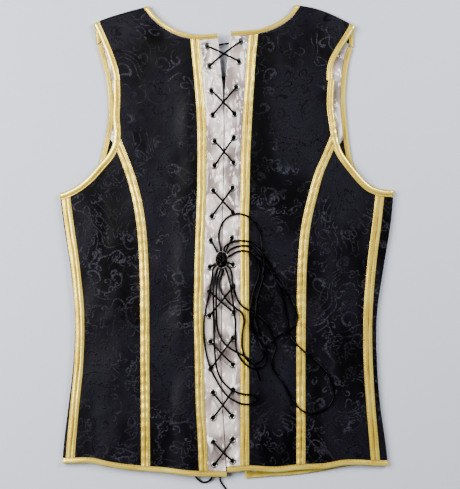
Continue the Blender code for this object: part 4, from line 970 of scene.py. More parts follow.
def grid_mesh(name, points, cloth_place, keep=None, tones=None):
    """A mesh with a face between each four neighbouring points of the grid that is kept."""
    across, up = points.shape[:2]
    number = np.arange(across * up).reshape(across, up)
    faces = np.stack([number[:-1, :-1], number[1:, :-1], number[1:, 1:], number[:-1, 1:]], axis=-1)
    faces = faces.reshape(-1, 4)
    if keep is not None:
        faces = faces[keep.reshape(-1)]
    used, faces = np.unique(faces, return_inverse=True)
    faces = faces.reshape(-1, 4)
    spots = place(points).reshape(-1, 3)[used]
    on_cloth = cloth_place.reshape(-1, 2)[used]
    mesh = mesh_of(name, spots, faces, on_cloth)
    if tones is not None:
        layer = mesh.attributes.new("tone", "FLOAT", "POINT")
        layer.data.foreach_set("value", tones.reshape(-1)[used].astype(np.float32))
    return mesh


def mesh_of(name, spots, faces, on_cloth=None):
    """A smooth mesh of four-sided faces from arrays, with its place on the cloth as a map."""
    mesh = bpy.data.meshes.new(name)
    mesh.vertices.add(len(spots))
    mesh.vertices.foreach_set("co", spots.astype(np.float32).ravel())
    mesh.loops.add(faces.size)
    mesh.loops.foreach_set("vertex_index", faces.astype(np.int32).ravel())
    mesh.polygons.add(len(faces))
    mesh.polygons.foreach_set("loop_start", np.arange(0, faces.size, 4, dtype=np.int32))
    if on_cloth is not None:
        layer = mesh.uv_layers.new(name="cut")
        layer.data.foreach_set("uv", on_cloth[faces.ravel()].astype(np.float32).ravel())
    mesh.update(calc_edges=True)
    mesh.shade_smooth()
    return mesh


def unrolled(points, way):
    """Where each point of a grid lies on the flat cloth, in metres.

    A flat piece keeps its x and y.  One that turns over a fold goes on past it by the length
    along the surface, and a strip is measured along and across itself.
    """
    place_on_cloth = points[..., :2].copy()
    step_across = np.linalg.norm(np.diff(points, axis=0), axis=2)
    step_along = np.linalg.norm(np.diff(points, axis=1), axis=2)
    across = np.concatenate([np.zeros((1, points.shape[1])), np.cumsum(step_across, axis=0)])
    along = np.concatenate([np.zeros((points.shape[0], 1)), np.cumsum(step_along, axis=1)], axis=1)
    if way == "across":
        sign = np.sign(points[1:2, :, 0] - points[:1, :, 0])
        place_on_cloth[..., 0] = points[:1, :, 0] + sign * across
    elif way == "along":
        place_on_cloth[..., 1] = points[:, :1, 1] + along
    elif way == "strip":
        place_on_cloth = np.stack([across, along], axis=-1)
    return place_on_cloth * MM


def dress(piece, material, slot, *nodes):
    """Gives a piece its material and ties it to the part: body and the nodes it replaces; slot is
    not used.
    """
    piece.data.materials.append(material)
    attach(piece, "root")
    if nodes:
        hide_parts(*nodes)
    return piece


def shown(name, data):
    """Puts a mesh or curve in the scene as an object."""
    piece = bpy.data.objects.new(name, data)
    bpy.context.scene.collection.objects.link(piece)
    return piece


def crisp(grid):
    """The grid with a narrow row beside each border, which keeps the rounding at the rim narrow."""
    for _ in range(2):
        first = grid[:1] + (grid[1:2] - grid[:1]) * RIM_SHARE
        last = grid[-1:] + (grid[-2:-1] - grid[-1:]) * RIM_SHARE
        grid = np.concatenate([grid[:1], first, grid[1:-1], last, grid[-1:]])
        grid = np.swapaxes(grid, 0, 1)
    return grid


def cloth(name, points, thickness, look, slot, way=None, keep=None, nodes=None, tones=None):
    """A cloth shell: the outer face on the grid's points, its thickness on the inner side."""
    flow = np.cross(points[1, 0] - points[0, 0], points[0, 1] - points[0, 0])
    if flow[2] < 0:
        points = points[::-1]
        keep = keep if keep is None else keep[::-1]
        tones = tones if tones is None else tones[::-1]
    if keep is None:
        points = crisp(points)
        tones = tones if tones is None else crisp(tones)
    mesh = grid_mesh(name, points, unrolled(points, way), keep, tones)
    piece = shown(name, mesh)
    wall = piece.modifiers.new("wall", "SOLIDIFY")
    wall.thickness = thickness * MM
    wall.offset = -1.0
    return dress(piece, look, slot, *(nodes or ["_".join(name.split("_")[:-1])]))


def turn_over(edge, outward):
    """Rows that turn over a fold: half circles from the upper face down to the table."""
    radius = edge[..., 2] / 2.0
    rows = []
    for angle in np.linspace(0.0, math.pi, ARC_STEPS + 1)[1:]:
        row = edge.copy()
        row[..., :2] += outward * (radius * math.sin(angle))[..., None]
        row[..., 2] = radius * (1.0 + math.cos(angle))
        rows.append(row)
    return rows


def shoulder_outward(points, fold):
    """The way off the shoulder at each point: square to the fold line, towards +Y."""
    tangent = np.gradient(fold, axis=0)
    tangent /= np.linalg.norm(tangent, axis=1)[:, None]
    normal = np.stack([-tangent[:, 1], tangent[:, 0]], axis=1)
    places = [nearest(fold, point[:2]) for point in points]
    numbers = np.arange(len(fold))
    outward = np.stack([np.interp(places, numbers, normal[:, k]) for k in range(2)], axis=1)
    return outward * np.sign(outward[:, 1])[:, None]


def back_center(side, lines, away, look):
    """The wide back piece: princess seam, then armhole, to the centre seam and the yoke."""
    low, high = lines["hem_cloth"], lines["yoke_seam"] - np.array([0.0, YOKE_SEAM / 2.0])
    princess = aside(lines["princess"], -away * SEAM / 2.0)
    armhole = lines["armhole_cloth"]
    rise = cut(princess, low, armhole)
    edge = stretch(armhole, nearest(armhole, rise[-1]), crossing(armhole, high))
    outside = np.concatenate([rise, edge[1:]])
    center = cut(aside(lines["center"], away * SEAM / 2.0), low, high)
    pair = (outside, center) if side == "l" else (center, outside)
    bottom = between(low, pair[0][0], pair[1][0])
    upper = between(high, pair[0][-1], pair[1][-1])
    flat = patch(pair[0], pair[1], bottom, upper, *CENTER_GRID)
    return cloth(f"back_center_{side}_cloth", lift(flat, top(flat[..., 0], flat[..., 1])), SHELL,
                 look, "brocade")


def back_side(side, lines, away, look):
    """The side back piece, from the side seam to the princess seam, under the armhole."""
    seams = [(lines["side"], -away * SEAM / 2.0), (lines["princess"], away * SEAM / 2.0)]
    if side == "r":
        seams.reverse()
    first, second = [aside(line, shift) for line, shift in seams]
    low, high = lines["hem_cloth"], lines["armhole_cloth"]
    first, second = cut(first, low, high), cut(second, low, high)
    bottom = between(low, first[0], second[0])
    upper = between(high, first[-1], second[-1])
    flat = patch(first, second, bottom, upper, *BACK_SIDE_GRID)
    return cloth(f"back_side_{side}_cloth", lift(flat, top(flat[..., 0], flat[..., 1])), SHELL,
                 look, "brocade")


def front_yoke_seam(lines, shift=0.0):
    """The yoke's seam on the front, from the armhole to the neck."""
    seam = lines["front_yoke"] - np.array([0.0, shift])
    return cut(seam, lines["front_armhole_cloth"], lines["front_neck_cloth"])


def yoke(side, lines, away, look):
    """The shoulder piece: over the back, round the shoulder fold and down to the front seam."""
    low = lines["yoke_seam"] + np.array([0.0, YOKE_SEAM / 2.0])
    fold = lines["shoulder"]
    outside = cut(lines["yoke_armhole_cloth"], low, fold)
    center = aside(lines["center"], away * SEAM / 2.0)
    rise = cut(center, low, lines["neck_cloth"])
    neck = lines["neck_cloth"]
    curve = stretch(neck, nearest(neck, rise[-1]), crossing(neck, fold))
    inside = np.concatenate([resample(rise, YOKE_RISE_ROWS), resample(curve, YOKE_NECK_ROWS)[1:]])
    bottom = resample(between(low, outside[0], inside[0]), YOKE_COLUMNS)
    upper = resample(between(fold, outside[-1], inside[-1]), YOKE_COLUMNS)
    flat = fill(resample(outside, len(inside)), inside, bottom, upper)
    raised = lift(flat, top(flat[..., 0], flat[..., 1]))
    end = raised[:, -1, :]
    arc = np.stack(turn_over(end, shoulder_outward(end, fold)), axis=1)
    front = lift(resample(front_yoke_seam(lines), YOKE_COLUMNS), 0.0)
    middle = (end * [1.0, 1.0, 0.0] + front) / 2.0
    points = np.concatenate([raised, arc, middle[:, None], front[:, None]], axis=1)
    return cloth(f"yoke_{side}_cloth", points, SHELL, look, "brocade", "along")


def side_front(side, lines, away, look):
    """The side front: on the table, round the side fold and up to the side seam."""
    seam = aside(lines["side"], away * SEAM / 2.0)
    fold = lines["fold"]
    low, high = lines["hem_cloth"], lines["armhole_cloth"]
    seam, fold = cut(seam, low, high), cut(fold, low, high)
    princess = cut(aside(lines["front_princess"], away * SEAM / 2.0),
                   lines["front_hem_cloth"], lines["front_armhole_cloth"])
    begin, turn = resample(seam, SIDE_ROWS), resample(fold, SIDE_ROWS)
    share = np.linspace(0.0, 1.0, SIDE_UPPER_COLUMNS)[:, None, None]
    upper = begin[None] + (turn - begin)[None] * share
    upper = lift(upper, top(upper[..., 0], upper[..., 1]))
    arc = np.stack(turn_over(upper[-1], np.array([away, 0.0])))
    bottom = between(lines["front_hem_cloth"], fold[0], princess[0])
    high_edge = between(lines["front_armhole_cloth"], fold[-1], princess[-1])
    flat = lift(patch(fold, princess, bottom, high_edge, SIDE_COLUMNS, SIDE_ROWS), 0.0)
    points = np.concatenate([upper, arc, flat[1:]], axis=0)
    return cloth(f"side_front_{side}_cloth", points, SHELL, look, "brocade", "across")


def front_patch(lines, away, grid):
    """The flat centre front between princess seam and armhole, and neck and centre edge."""
    princess = cut(aside(lines["front_princess"], -away * SEAM / 2.0),
                   lines["front_hem_cloth"], lines["front_armhole_cloth"])
    armhole = lines["front_armhole_cloth"]
    seam = front_yoke_seam(lines, SEAM)
    neck = lines["front_neck_cloth"]
    edge = aside(lines["front_edge"], away * (FRONT_EDGE_WIDTH + GAP * 1.5))
    neck_run = stretch(neck, nearest(neck, seam[-1]), crossing(neck, edge))
    edge_run = cut(edge, neck, lines["front_hem_cloth"])
    outside = np.concatenate([princess, between(armhole, princess[-1], seam[0])[1:]])
    inside = np.concatenate([neck_run, edge_run[1:]])[::-1]
    bottom = between(lines["front_hem_cloth"], outside[0], inside[0])
    return patch(outside, inside, bottom, seam, *grid)


def center_front(side, lines, away, shell_look, lining_look):
    """The centre front on the table and the satin lining inside it, with its soft wrinkles.

    A wrinkle is sin(x + a slow sine of y) times a slow sine of y and x, calmed at the edges.
    """
    outer = front_patch(lines, away, FRONT_GRID)
    front = cloth(f"front_center_{side}_cloth", lift(outer, WALL), WALL, shell_look, "brocade")
    flat = front_patch(lines, away, LINING_GRID)
    x, y = flat[..., 0], flat[..., 1]
    waves = LINING_WRINKLE * np.sin(x / 5.5 + 1.3 * np.sin(y / 23.0)) * np.sin(y / 37.0 + x / 60.0)
    edge = np.minimum(*[np.linspace(0, 1, n).reshape(s) for n, s in
                        ((LINING_GRID[0], (-1, 1)), (LINING_GRID[1], (1, -1)))])
    height = LINING_TOP + waves * ease(edge / LINING_CALM)
    lining = cloth(f"front_lining_{side}_cloth", lift(flat, height), LINING_SHELL, lining_look,
                   "satin")
    return front, lining


def front_edge_binding(side, lines, away, look):
    """The bound centre edge of a front, from the hem to the neck binding.

    Its height is the binding's, less a sixth power of the distance from the strip's middle.
    """
    near = aside(lines["front_edge"], away * GAP / 2.0)
    far = aside(lines["front_edge"], away * (FRONT_EDGE_WIDTH + GAP / 2.0))
    near = cut(near, lines["front_hem"], lines["front_neck_cloth"])
    far = cut(far, lines["front_hem"], lines["front_neck_cloth"])
    share = np.linspace(0.0, 1.0, FRONT_EDGE_COLUMNS)[:, None, None]
    near, far = resample(near, BINDING_ROWS)[None], resample(far, BINDING_ROWS)[None]
    flat = near + (far - near) * share
    height = BINDING - FRONT_EDGE_ROUND * (2.0 * share[..., 0] - 1.0) ** 6
    return cloth(f"front_edge_binding_{side}_tape", lift(flat, height), FRONT_EDGE_WALL, look,
                 "tape", "strip", tones=np.full(flat.shape[:2], FRONT_EDGE_TONE))


def lacing_panel(side, lines, away, look):
    """The satin panel: a hole at each eyelet, pleats round it and a soft ridge by the seam.

    The pleats are cos(n times the angle round the eyelet) times a bell curve of the distance,
    with n from 3 to 5.  The ridge is a bell curve of the distance from the seam, and the
    ripples are products of sines of x and y.
    """
    low, high = lines["hem_cloth"], lines["neck_cloth"]
    seam = cut(aside(lines["center"], -away * SEAM / 2.0), low, high)
    slit = cut(aside(lines["slit"], away * GAP / 2.0), low, high)
    upper = between(high, seam[-1], slit[-1])
    bottom = between(low, seam[0], slit[0])
    flat = patch(seam, slit, bottom, upper, *PANEL_GRID)
    x, y = flat[..., 0], flat[..., 1]
    holes = np.array(EYELETS[side])
    reach = np.hypot(x[..., None] - holes[:, 0], y[..., None] - holes[:, 1])
    angle = np.arctan2(y[..., None] - holes[:, 1], x[..., None] - holes[:, 0])
    number = np.arange(len(holes))
    pleats = np.cos((3 + number % 3) * angle + 1.7 * number)
    pleats = pleats * np.exp(-((reach - PLEAT_PLACE) / PLEAT_WIDTH) ** 2)
    from_seam = np.abs(x - x[:1])
    free = ease((from_seam - HELD_WIDTH) / HELD_SLOPE)
    ridge = np.exp(-((from_seam - RIDGE_PLACE - np.sin(y / 19.0)) / RIDGE_WIDTH) ** 2)
    ridge = RIDGE_HEIGHT * ridge * (0.75 + 0.25 * np.sin(y / 11.0 + 0.8 * np.sin(y / 5.3)))
    tall, slow = PANEL_PUCKERS[side]
    bend = 2.2 * np.sin(y / 23.0) + x / 3.1
    ripple = tall * np.sin(y / 3.9 + bend) * np.sin(y / 13.0 + x / 5.0 + 1.3)
    ripple = ripple + slow * np.sin(x / 2.7 + y / 9.5 + 2.0 * np.sin(y / 31.0))
    height = LACING_RISE + WALL + PLEAT_HEIGHT * pleats.sum(axis=-1) + free * (ridge + ripple)
    middle = (flat[:-1, :-1] + flat[1:, 1:]) / 2.0
    clear = np.hypot(middle[..., 0, None] - holes[:, 0], middle[..., 1, None] - holes[:, 1])
    keep = clear.min(axis=-1) > PANEL_HOLE
    return cloth(f"lacing_panel_{side}_cloth", lift(flat, height), SHELL, look, "satin",
                 keep=keep)


def section_rows(outer, inner, section, base, rows):
    """A strip's rows across: each lies at its share from outer to inner, at its own height.

    The rows between wander along the strip by a sine of the place, as hand-guided stitches do.
    """
    outer, inner = resample(outer, rows), resample(inner, rows)
    table = np.array(section)
    wave = WANDER * np.sin(outer[:, 1] / 17.0 + outer[:, 0] / 23.0)
    wave = wave + 0.6 * WANDER * np.sin(outer[:, 1] / 6.1 - outer[:, 0] / 9.0)
    share = table[:, 0][:, None]
    share = share + wave * share * (1.0 - share) * 4.0
    flat = outer[None] + (inner - outer)[None] * share[..., None]
    height = base(flat[..., 0], flat[..., 1]) + table[:, 1][:, None]
    return lift(flat, height)


def tones_of(section, points):
    """The section's tone at each point of a strip's grid."""
    return np.broadcast_to(np.array(section)[:, 2][:, None], points.shape[:2])


def tape(name, seam, low, high, look):
    """A tape over a seam: a low arch with a sewn groove near both edges."""
    first = cut(aside(seam, -TAPE_WIDTH / 2.0), low, high)
    second = cut(aside(seam, TAPE_WIDTH / 2.0), low, high)
    points = section_rows(first, second, TAPE_SECTION, outer_top, TAPE_ROWS)
    piece = cloth(name + "_tape", points, TAPE_SHELL, look, "tape", "strip",
                  tones=tones_of(TAPE_SECTION, points))
    return piece, [points[row] for row in TAPE_STITCH_ROWS]


def folded_binding(name, back, front, outward, look):
    """One binding that runs along the back, turns over a fold and runs along the front."""
    end = back[:, -1, :]
    arc = np.stack(turn_over(end, outward), axis=1)
    points = np.concatenate([back, arc, front[:, 1:, :]], axis=1)
    piece = cloth(name + "_tape", points, BINDING, look, "tape", "strip",
                  tones=tones_of(BINDING_SECTION, points))
    return piece, [back[BINDING_STITCH_ROW]]


def under_rows(outer, inner, rows):
    """The same strip on the front, flat on the table."""
    outer, inner = resample(outer, rows), resample(inner, rows)
    shares = np.array(BINDING_SECTION)[:, 0][:, None, None]
    return lift(outer[None] + (inner - outer)[None] * shares, 0.0)


def armhole_bindings(side, lines, away, look):
    """The yoke's short binding over the shoulder, and the long one round the armhole."""
    fold = lines["shoulder"]
    seam = lines["yoke_seam"]
    outer = cut(lines["yoke_armhole"], seam, fold)
    inner = cut(lines["yoke_armhole_inner"], seam, fold)
    back = section_rows(outer, inner, BINDING_SECTION, top, SHORT_ROWS)
    front_end = lines["front_yoke"]
    outer_run, inner_run = lines["front_armhole"], lines["front_armhole_inner"]
    outer_front = np.stack([outer[-1], outer_run[int(crossing(outer_run, front_end))]])
    inner_front = np.stack([inner[-1], inner_run[int(crossing(inner_run, front_end))]])
    front = under_rows(outer_front, inner_front, FRONT_END_ROWS)
    outward = shoulder_outward(back[:, -1, :], fold)
    short = folded_binding("yoke_binding_" + side, back, front, outward, look)

    low_seam = seam - np.array([0.0, GAP])
    fold = lines["fold"]
    outer = cut(lines["armhole"], low_seam, fold)
    inner = cut(lines["armhole_inner"], low_seam, fold)
    back = section_rows(outer, inner, BINDING_SECTION, top, BINDING_ROWS)
    front_seam = lines["front_yoke"] - np.array([0.0, FRONT_BINDING_START])
    outer_front = cut(lines["front_armhole"], fold, front_seam)
    inner_front = cut(lines["front_armhole_inner"], fold, front_seam)
    outer_front = np.concatenate([outer[-1:], outer_front[ARMHOLE_SKIP:]])
    inner_front = np.concatenate([inner[-1:], inner_front[ARMHOLE_SKIP:]])
    front = under_rows(outer_front, inner_front, SHORT_ROWS)
    long = folded_binding("armhole_binding_" + side, back, front, np.array([away, 0.0]), look)
    return short, long


def neck_binding(side, lines, away, look):
    """The neck binding: back neck, over the shoulder, and round the scooped front neck."""
    fold = lines["shoulder"]
    outer = stretch(lines["neck"], 0.0, crossing(lines["neck"], fold))
    inner = stretch(lines["neck_inner"], 0.0, crossing(lines["neck_inner"], fold))
    back = section_rows(outer, inner, BINDING_SECTION, top, SHORT_ROWS)
    edge = aside(lines["front_edge"], away * GAP / 2.0)
    outer_front, inner_front = [stretch(line, NECK_SKIP, crossing(line, edge)) for line in
                                (lines["front_neck"], lines["front_neck_inner"])]
    outer_front = np.concatenate([outer[-1:], outer_front])
    inner_front = np.concatenate([inner[-1:], inner_front])
    front = under_rows(outer_front, inner_front, SHORT_ROWS)
    outward = shoulder_outward(back[:, -1, :], fold)
    return folded_binding("neck_binding_" + side, back, front, outward, look)


def hem_binding(side, lines, away, look):
    """The hem binding: along the back hem, round the side fold and along the front hem."""
    fold = lines["fold"]
    outer = stretch(lines["hem"], 0.0, crossing(lines["hem"], fold))
    inner = stretch(lines["hem_inner"], 0.0, crossing(lines["hem_inner"], fold))
    back = section_rows(outer, inner, BINDING_SECTION, top, BINDING_ROWS)
    edge = aside(lines["front_edge"], away * (FRONT_EDGE_WIDTH + GAP * 1.5))
    outer_front = cut(lines["front_hem"], fold, edge)
    inner_front = cut(lines["front_hem_inner"], fold, edge)
    outer_front = np.concatenate([outer[-1:], outer_front[HEM_SKIP:]])
    inner_front = np.concatenate([inner[-1:], inner_front[HEM_SKIP:]])
    front = under_rows(outer_front, inner_front, SHORT_ROWS)
    return folded_binding("hem_binding_" + side, back, front, np.array([away, 0.0]), look)


def turned_ring(section, turns):
    """The points and faces of a closed profile of (distance, height) rows turned round Z."""
    rows = np.array(section)
    angle = np.linspace(0.0, 2.0 * math.pi, turns, endpoint=False)
    spots = np.stack([rows[:, 0, None] * np.cos(angle), rows[:, 0, None] * np.sin(angle),
                      np.broadcast_to(rows[:, 1, None], (len(rows), turns))], axis=-1)
    number = np.arange(len(rows) * turns).reshape(len(rows), turns)
    onward = np.roll(number, -1, axis=0)
    faces = np.stack([number, onward, np.roll(onward, -1, axis=1), np.roll(number, -1, axis=1)],
                     axis=-1)
    return spots.reshape(-1, 3), faces.reshape(-1, 4)


def repeated(spots, faces, copies):
    """The faces of many copies of one small form, whose points are already placed."""
    shift = np.arange(copies)[:, None, None] * len(spots)
    return (faces[None] + shift).reshape(-1, 4)


def eyelets(side, look):
    """A row of turned metal eyelets, the same ring at each hole of the panel."""
    ring, faces = turned_ring(EYELET_SECTION, EYELET_TURNS)
    holes = lift(np.array(EYELETS[side]), LACING_RISE + WALL + EYELET_LIFT)
    spots = place(ring[None] + holes[:, None])
    mesh = mesh_of(f"eyelets_{side}", spots.reshape(-1, 3), repeated(ring, faces, len(holes)))
    piece = shown(f"eyelets_{side}", mesh)
    piece.data.materials.append(look)
    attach(piece, "root")
    return piece


def stitches(name, rows, look):
    """Sewing stitches: short spindles end to end along each row, a little proud of the cloth."""
    middles, ways = [], []
    for row in rows:
        length = np.sum(np.linalg.norm(np.diff(row, axis=0), axis=1))
        line = resample(row, 2 * int(length / STITCH_PITCH) + 1)
        middles.append(line[1::2])
        ways.append(line[2::2] - line[:-1:2])
    middle, way = np.concatenate(middles), np.concatenate(ways)
    way = way / np.linalg.norm(way, axis=1)[:, None]
    beside = np.cross(way, [0.0, 0.0, 1.0])
    above = np.cross(beside, way)
    angle = np.linspace(0.0, 2.0 * math.pi, STITCH_SIDES, endpoint=False)
    spindle = np.array(SPINDLE)
    along = np.repeat(spindle[:, 0] * STITCH_LENGTH, STITCH_SIDES)
    radius = np.repeat(spindle[:, 1] * STITCH_RADIUS, STITCH_SIDES)
    turn = np.tile(angle, len(spindle))
    spots = (middle[:, None] + way[:, None] * along[:, None]
             + beside[:, None] * (radius * np.cos(turn))[:, None]
             + above[:, None] * (radius * np.sin(turn) + STITCH_LIFT)[:, None])
    number = np.arange(len(spindle) * STITCH_SIDES).reshape(len(spindle), STITCH_SIDES)
    around = np.roll(number, -1, axis=1)
    faces = np.stack([number[:-1], number[1:], around[1:], around[:-1]], axis=-1).reshape(-1, 4)
    first, last = number[0], number[-1]
    ends = [first[[3, 4, 5, 0]], first[[1, 2, 3, 0]], last[[3, 2, 1, 0]], last[[5, 4, 3, 0]]]
    faces = np.concatenate([faces, ends])
    mesh = mesh_of(name, place(spots).reshape(-1, 3), repeated(spots[0], faces, len(middle)))
    piece = shown(name, mesh)
    piece.data.materials.append(look)
    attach(piece, "root")
    return piece


def toward_point(start, end, distance):
    """The point a distance from the start on the way to the end, seen from above."""
    way = np.array(end[:2]) - np.array(start[:2])
    spot = np.array(start[:2]) + way / np.linalg.norm(way) * distance
    return (spot[0], spot[1])


def knot_point(toward):
    """A point just off the knot's side, on the way to another point."""
    way = np.array(toward) - np.array(KNOT)
    way = way / np.linalg.norm(way)
    reach = 1.0 / math.hypot(way[0] / (KNOT_SIZE[0] / 2), way[1] / (KNOT_SIZE[1] / 2))
    spot = np.array(KNOT) + way * (reach + GAP * 2.0)
    return (spot[0], spot[1])


def run_between(start, end, level, bulge):
    """Points of a lace run from one eyelet to the next, with a crown where it crosses another."""
    start, end = np.array(start), np.array(end)
    way = (end - start) / np.linalg.norm(end - start)
    lip = EYELET_HOLE / 2.0
    first, last = start + way * lip, end - way * lip
    if bulge == 0.0:
        return [(*first, level), (*last, level)]
    crown = [(*(first + (last - first) * share), level + bulge) for share in CROWN_SHARES]
    return [(*first, level)] + crown + [(*last, level)]


def laced_run(first_side, rows, outside_first, over):
    """The cord's way through the eyelets of these rows, changing sides at each row."""
    points = []
    side = first_side
    outside = outside_first
    for upper, lower in zip(rows[:-1], rows[1:]):
        other = "r" if side == "l" else "l"
        start, end = EYELETS[side][upper], EYELETS[other][lower]
        if outside:
            bulge = CROSS_RISE if over == (upper // 2 % 2 == 0) else 0.0
            points += run_between(start, end, OUT_Z, bulge)
        else:
            bulge = -CROSS_RISE if over else 0.0
            points += run_between(start, end, IN_Z, bulge)
        points.append((*end, HOLE_Z))
        side = other
        outside = not outside
    return points, side


def held_laces():
    """The laced cord: two runs above the knot, and two below it down to the hem."""
    paths = {}
    bar_y = (EYELETS["l"][0][1] + EYELETS["r"][0][1]) / 2.0
    meet = {"l": (SLIT_TOP_X - GAP, bar_y, IN_Z), "r": (SLIT_TOP_X + GAP, bar_y, IN_Z)}
    for name, side, over in (("lace_upper_a", "l", True), ("lace_upper_b", "r", False)):
        start = EYELETS[side][0]
        lean = 1.0 if side == "l" else -1.0
        points = [meet[side], (start[0] + lean * EYELET_HOLE / 2.0, start[1], IN_Z),
                  (*start, HOLE_Z)]
        run, end_side = laced_run(side, range(KNOT_ROW), True, over)
        points += run
        last = EYELETS[end_side][KNOT_ROW - 1]
        points.append((*toward_point(last, KNOT, EYELET_HOLE / 2.0), OUT_Z))
        points.append((*knot_point(last), KNOT_ENTRY_Z))
        paths[name] = points
    for name, side, over, onward in (("lace_lower_a", "l", True, HEM_LOOP[0]),
                                     ("lace_lower_b", "r", False, HEM_TAIL[0])):
        start = EYELETS[side][KNOT_ROW]
        points = [(*knot_point(start), KNOT_ENTRY_Z),
                  (*toward_point(start, KNOT, EYELET_HOLE / 2.0), OUT_Z), (*start, HOLE_Z)]
        run, end_side = laced_run(side, range(KNOT_ROW, len(EYELETS[side])), False, over)
        last = EYELETS[end_side][-1]
        points += run
        points.append((*toward_point(last, onward, EYELET_HOLE / 2.0), IN_Z))
        points.append((*toward_point(onward, last, CORD_END_GAP), IN_Z))
        paths[name] = points
    return paths


def support(x, y):
    """The height of what a loose cord lies on: the back cloth, or a tape on it."""
    height = top(x, y)
    rows = np.array(BACK_SEAMS, float)
    for number in CORD_TAPES:
        seam = np.interp(y, rows[:, 0], rows[:, number])
        near = np.abs(x - seam) < TAPE_WIDTH / 2.0 + LACE
        height = np.where(near, height + TAPE_RISE, height)
    return height


def hump(heights, step):
    """The heights widened to flat tops, then joined by slopes no steeper than CORD_SLOPE."""
    count = int(round(CORD_FLAT / step))
    wide = heights.copy()
    for k in range(1, count + 1):
        wide[k:] = np.maximum(wide[k:], heights[:-k])
        wide[:-k] = np.maximum(wide[:-k], heights[k:])
    low = wide.copy()
    for k in range(1, CORD_SLOPE_STEPS):
        low[k:] = np.maximum(low[k:], wide[:-k] - CORD_SLOPE * step * k)
        low[:-k] = np.maximum(low[:-k], wide[k:] - CORD_SLOPE * step * k)
    return low


def softened(heights):
    """The heights averaged over their near neighbours, for a cord that bends evenly."""
    padded = np.concatenate([heights[:1]] * 2 + [heights] + [heights[-1:]] * 2)
    return np.convolve(padded, CORD_BLUR, mode="valid")


def lay_cord(route, laid, returns):
    """A loose cord from the knot, laid on the cloth and over the cords that were laid before.

    Its height is that of the cloth or of the cord under it, widened and joined by soft slopes;
    it leaves the knot at the level of the knot's side, and a loop comes back to it the same way.
    """
    route = [knot_point(route[0])] + route
    if returns:
        route = route + [knot_point(route[-1])]
    flat = smooth(route, CORD_STEP)
    step = np.linalg.norm(flat[1] - flat[0])
    ground = support(flat[:, 0], flat[:, 1]) + LACE / 2.0 + CORD_REST
    ground[0] = KNOT_ENTRY_Z
    if returns:
        ground[-1] = KNOT_ENTRY_Z
    reach = LACE + CORD_REST
    below = np.concatenate(laid)
    away = np.linalg.norm(flat[:, None] - below[None, :, :2], axis=2)
    over = np.sqrt(np.maximum(reach**2 - away**2, 0.0)) + below[None, :, 2]
    ground = np.maximum(ground, np.where(away < reach, over, 0.0).max(axis=1))
    heights = hump(ground, step)
    apart = int(round(CORD_SELF_REACH / step))
    numbers = np.arange(len(flat))
    away = np.linalg.norm(flat[:, None] - flat[None], axis=2)
    meets = (away < reach) & (numbers[:, None] - numbers[None] > apart)
    for _ in range(LAY_PASSES):
        over = heights[None] + np.sqrt(np.maximum(reach**2 - away**2, 0.0))
        ground = np.maximum(ground, np.where(meets, over, 0.0).max(axis=1))
        heights = hump(ground, step)
    return lift(flat, softened(heights))


def dense(points):
    """A cord's points with more between them, for measuring how near another cord comes."""
    points = np.array(points, float)
    length = np.sum(np.linalg.norm(np.diff(points, axis=0), axis=1))
    return resample(points, max(2, int(length / MEASURED_STEP)))


def cord(name, points, closed=False):
    """A round cord: one open line of points with a round section, and caps on its ends."""
    curve = bpy.data.curves.new(name, "CURVE")
    curve.dimensions = "3D"
    curve.bevel_depth = LACE / 2.0 * MM
    curve.bevel_resolution = CORD_BEVEL
    curve.use_fill_caps = True
    placed = place(points)
    spline = curve.splines.new("POLY")
    spline.points.add(len(placed) - 1)
    spline.points.foreach_set("co", np.c_[placed, np.ones(len(placed))].ravel())
    spline.use_cyclic_u = closed
    spline.use_smooth = True
    return shown(name, curve)


def knot(look):
    """The knot: a cord that crosses to and fro over a small round mass, drawn tight.

    On a square its path is cos 4t by cos (5t + 1), at the height cos (9t + 0.6).  Each side is
    then drawn in by sqrt(1 - other^2 / 2), which turns the square into a disc.
    """
    t = np.linspace(0.0, 2.0 * math.pi, KNOT_POINTS, endpoint=False)
    across, up = np.cos(4.0 * t), np.cos(5.0 * t + 1.0)
    path = np.stack([across * np.sqrt(1.0 - up**2 / 2.0), up * np.sqrt(1.0 - across**2 / 2.0),
                     np.cos(9.0 * t + 0.6)], axis=1)
    half = np.array(KNOT_SIZE) / 2.0 - LACE / 2.0
    path = path / np.abs(path).max(axis=0) * half + np.array([*KNOT, KNOT_MIDDLE_Z])
    piece = cord("lace_knot_cord", path, closed=True)
    return dress(piece, look, "lace", "lace_knot")


def laces(look):
    """Every cord: the held runs through the eyelets, the knot and the loose loops."""
    laid = []
    for name, points in held_laces().items():
        dress(cord(name + "_cord", smooth(points, HELD_STEP)), look, "lace", name)
        laid.append(dense(points))
    lump = knot(look)
    for name, points, end in (("lace_hem_loop", HEM_LOOP, "object"),
                              ("lace_hem_tail", HEM_TAIL, "bare")):
        line = smooth(points, HEM_STEP)
        piece = dress(cord(name + "_cord", line), look, "lace", name)
        tuple(place(line[0]))
    for name, route in LOOPS.items():
        loop = "loop" in name
        path = lay_cord(route, laid, loop)
        laid.append(dense(path))
        piece = dress(cord(name + "_cord", path), look, "lace", name)
        tuple(place(path[0]))


def camera():
    """A camera that looks straight down on the vest from a step away."""
    lens = bpy.data.cameras.new("camera")
    lens.sensor_width = SENSOR
    lens.lens = SENSOR * CAMERA_DISTANCE / VIEW_HEIGHT
    lens.clip_end = 10.0
    eye = bpy.data.objects.new("camera", lens)
    eye.location = (VIEW_MIDDLE[0] * MM, VIEW_MIDDLE[1] * MM,
                    (CAMERA_DISTANCE + CLOTH_LEVEL) * MM)
    bpy.context.scene.collection.objects.link(eye)
    bpy.context.scene.camera = eye


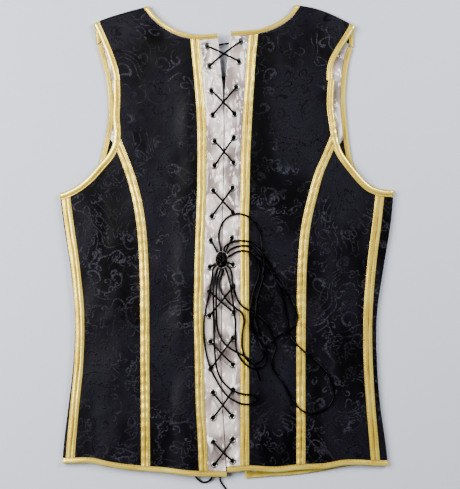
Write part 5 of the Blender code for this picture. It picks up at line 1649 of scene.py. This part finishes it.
def lamp(name, spot, aim, size, power):
    """A soft square studio light at a spot, turned to its aim."""
    light = bpy.data.lights.new(name, "AREA")
    light.size = size
    light.energy = power
    piece = bpy.data.objects.new(name, light)
    piece.location = spot
    way = np.array(aim, float) - np.array(spot, float)
    turn = math.atan2(way[1], way[0])
    tilt = math.acos(-way[2] / np.linalg.norm(way))
    piece.rotation_euler = (0.0, -tilt, turn)
    bpy.context.scene.collection.objects.link(piece)


def studio():
    """The pale table and the soft light round it."""
    # Painted board: a pale, even, almost matt ground
    look = plain("painted_table_board", TABLE_COLOR, 0.6)[0]
    corners = [(x * TABLE_HALF, y * TABLE_HALF, -TABLE_DROP)
               for x, y in ((-1, -1), (1, -1), (1, 1), (-1, 1))]
    floor = shown("table", mesh_of("table", np.array(corners), np.array([[0, 1, 2, 3]])))
    floor.data.materials.append(look)
    for row in LAMPS:
        lamp(*row)
    world = bpy.data.worlds.new("room")
    world.use_nodes = True
    sky = world.node_tree.nodes["Background"]
    sky.inputs["Color"].default_value = linear(ROOM_COLOR)
    sky.inputs["Strength"].default_value = ROOM_LIGHT
    bpy.context.scene.world = world


camera()
laces(braided("braided_polyester_cord"))

brocade_look = brocade("jacquard_brocade_black")
satin_look = satin("polyester_satin_silver_cream", SATIN_LIGHT, SATIN_SHADE, SATIN_CREST_HIGHLIGHT,
                   SATIN_WRINKLE, 0.17)
tape_look = gold_tape("satin_bias_tape_gold")
# Nickel on stamped steel: grey rims with a soft mirror of the lamps, dulled by handling
nickel_look = plain("nickel_plated_steel", NICKEL_GREY, 0.32, Metallic=1.0)[0]
# Spun polyester thread: a matt gold line, a little darker than the tape that it holds
gold_thread = plain("polyester_thread_gold", THREAD_GOLD, 0.5)[0]

for side in ("l", "r"):
    lines, away = lines_of(side)
    back_center(side, lines, away, brocade_look)
    back_side(side, lines, away, brocade_look)
    yoke(side, lines, away, brocade_look)
    side_front(side, lines, away, brocade_look)
    center_front(side, lines, away, brocade_look, satin_look)
    lacing_panel(side, lines, away, satin_look)
    front_edge_binding(side, lines, away, tape_look)
    hem, armhole = lines["hem_cloth"], lines["armhole_cloth"]
    sewn = [tape("center_tape_" + side, lines["center"], hem, lines["neck_cloth"], tape_look),
            tape("princess_tape_" + side, lines["princess"], hem, armhole, tape_look),
            tape("side_tape_" + side, lines["side"], hem, armhole, tape_look),
            *armhole_bindings(side, lines, away, tape_look),
            neck_binding(side, lines, away, tape_look),
            hem_binding(side, lines, away, tape_look)]
    rows = [row for _, found in sewn for row in found]
    stitches("stitches_" + side, rows, gold_thread)
    eyelets(side, nickel_look)

studio()
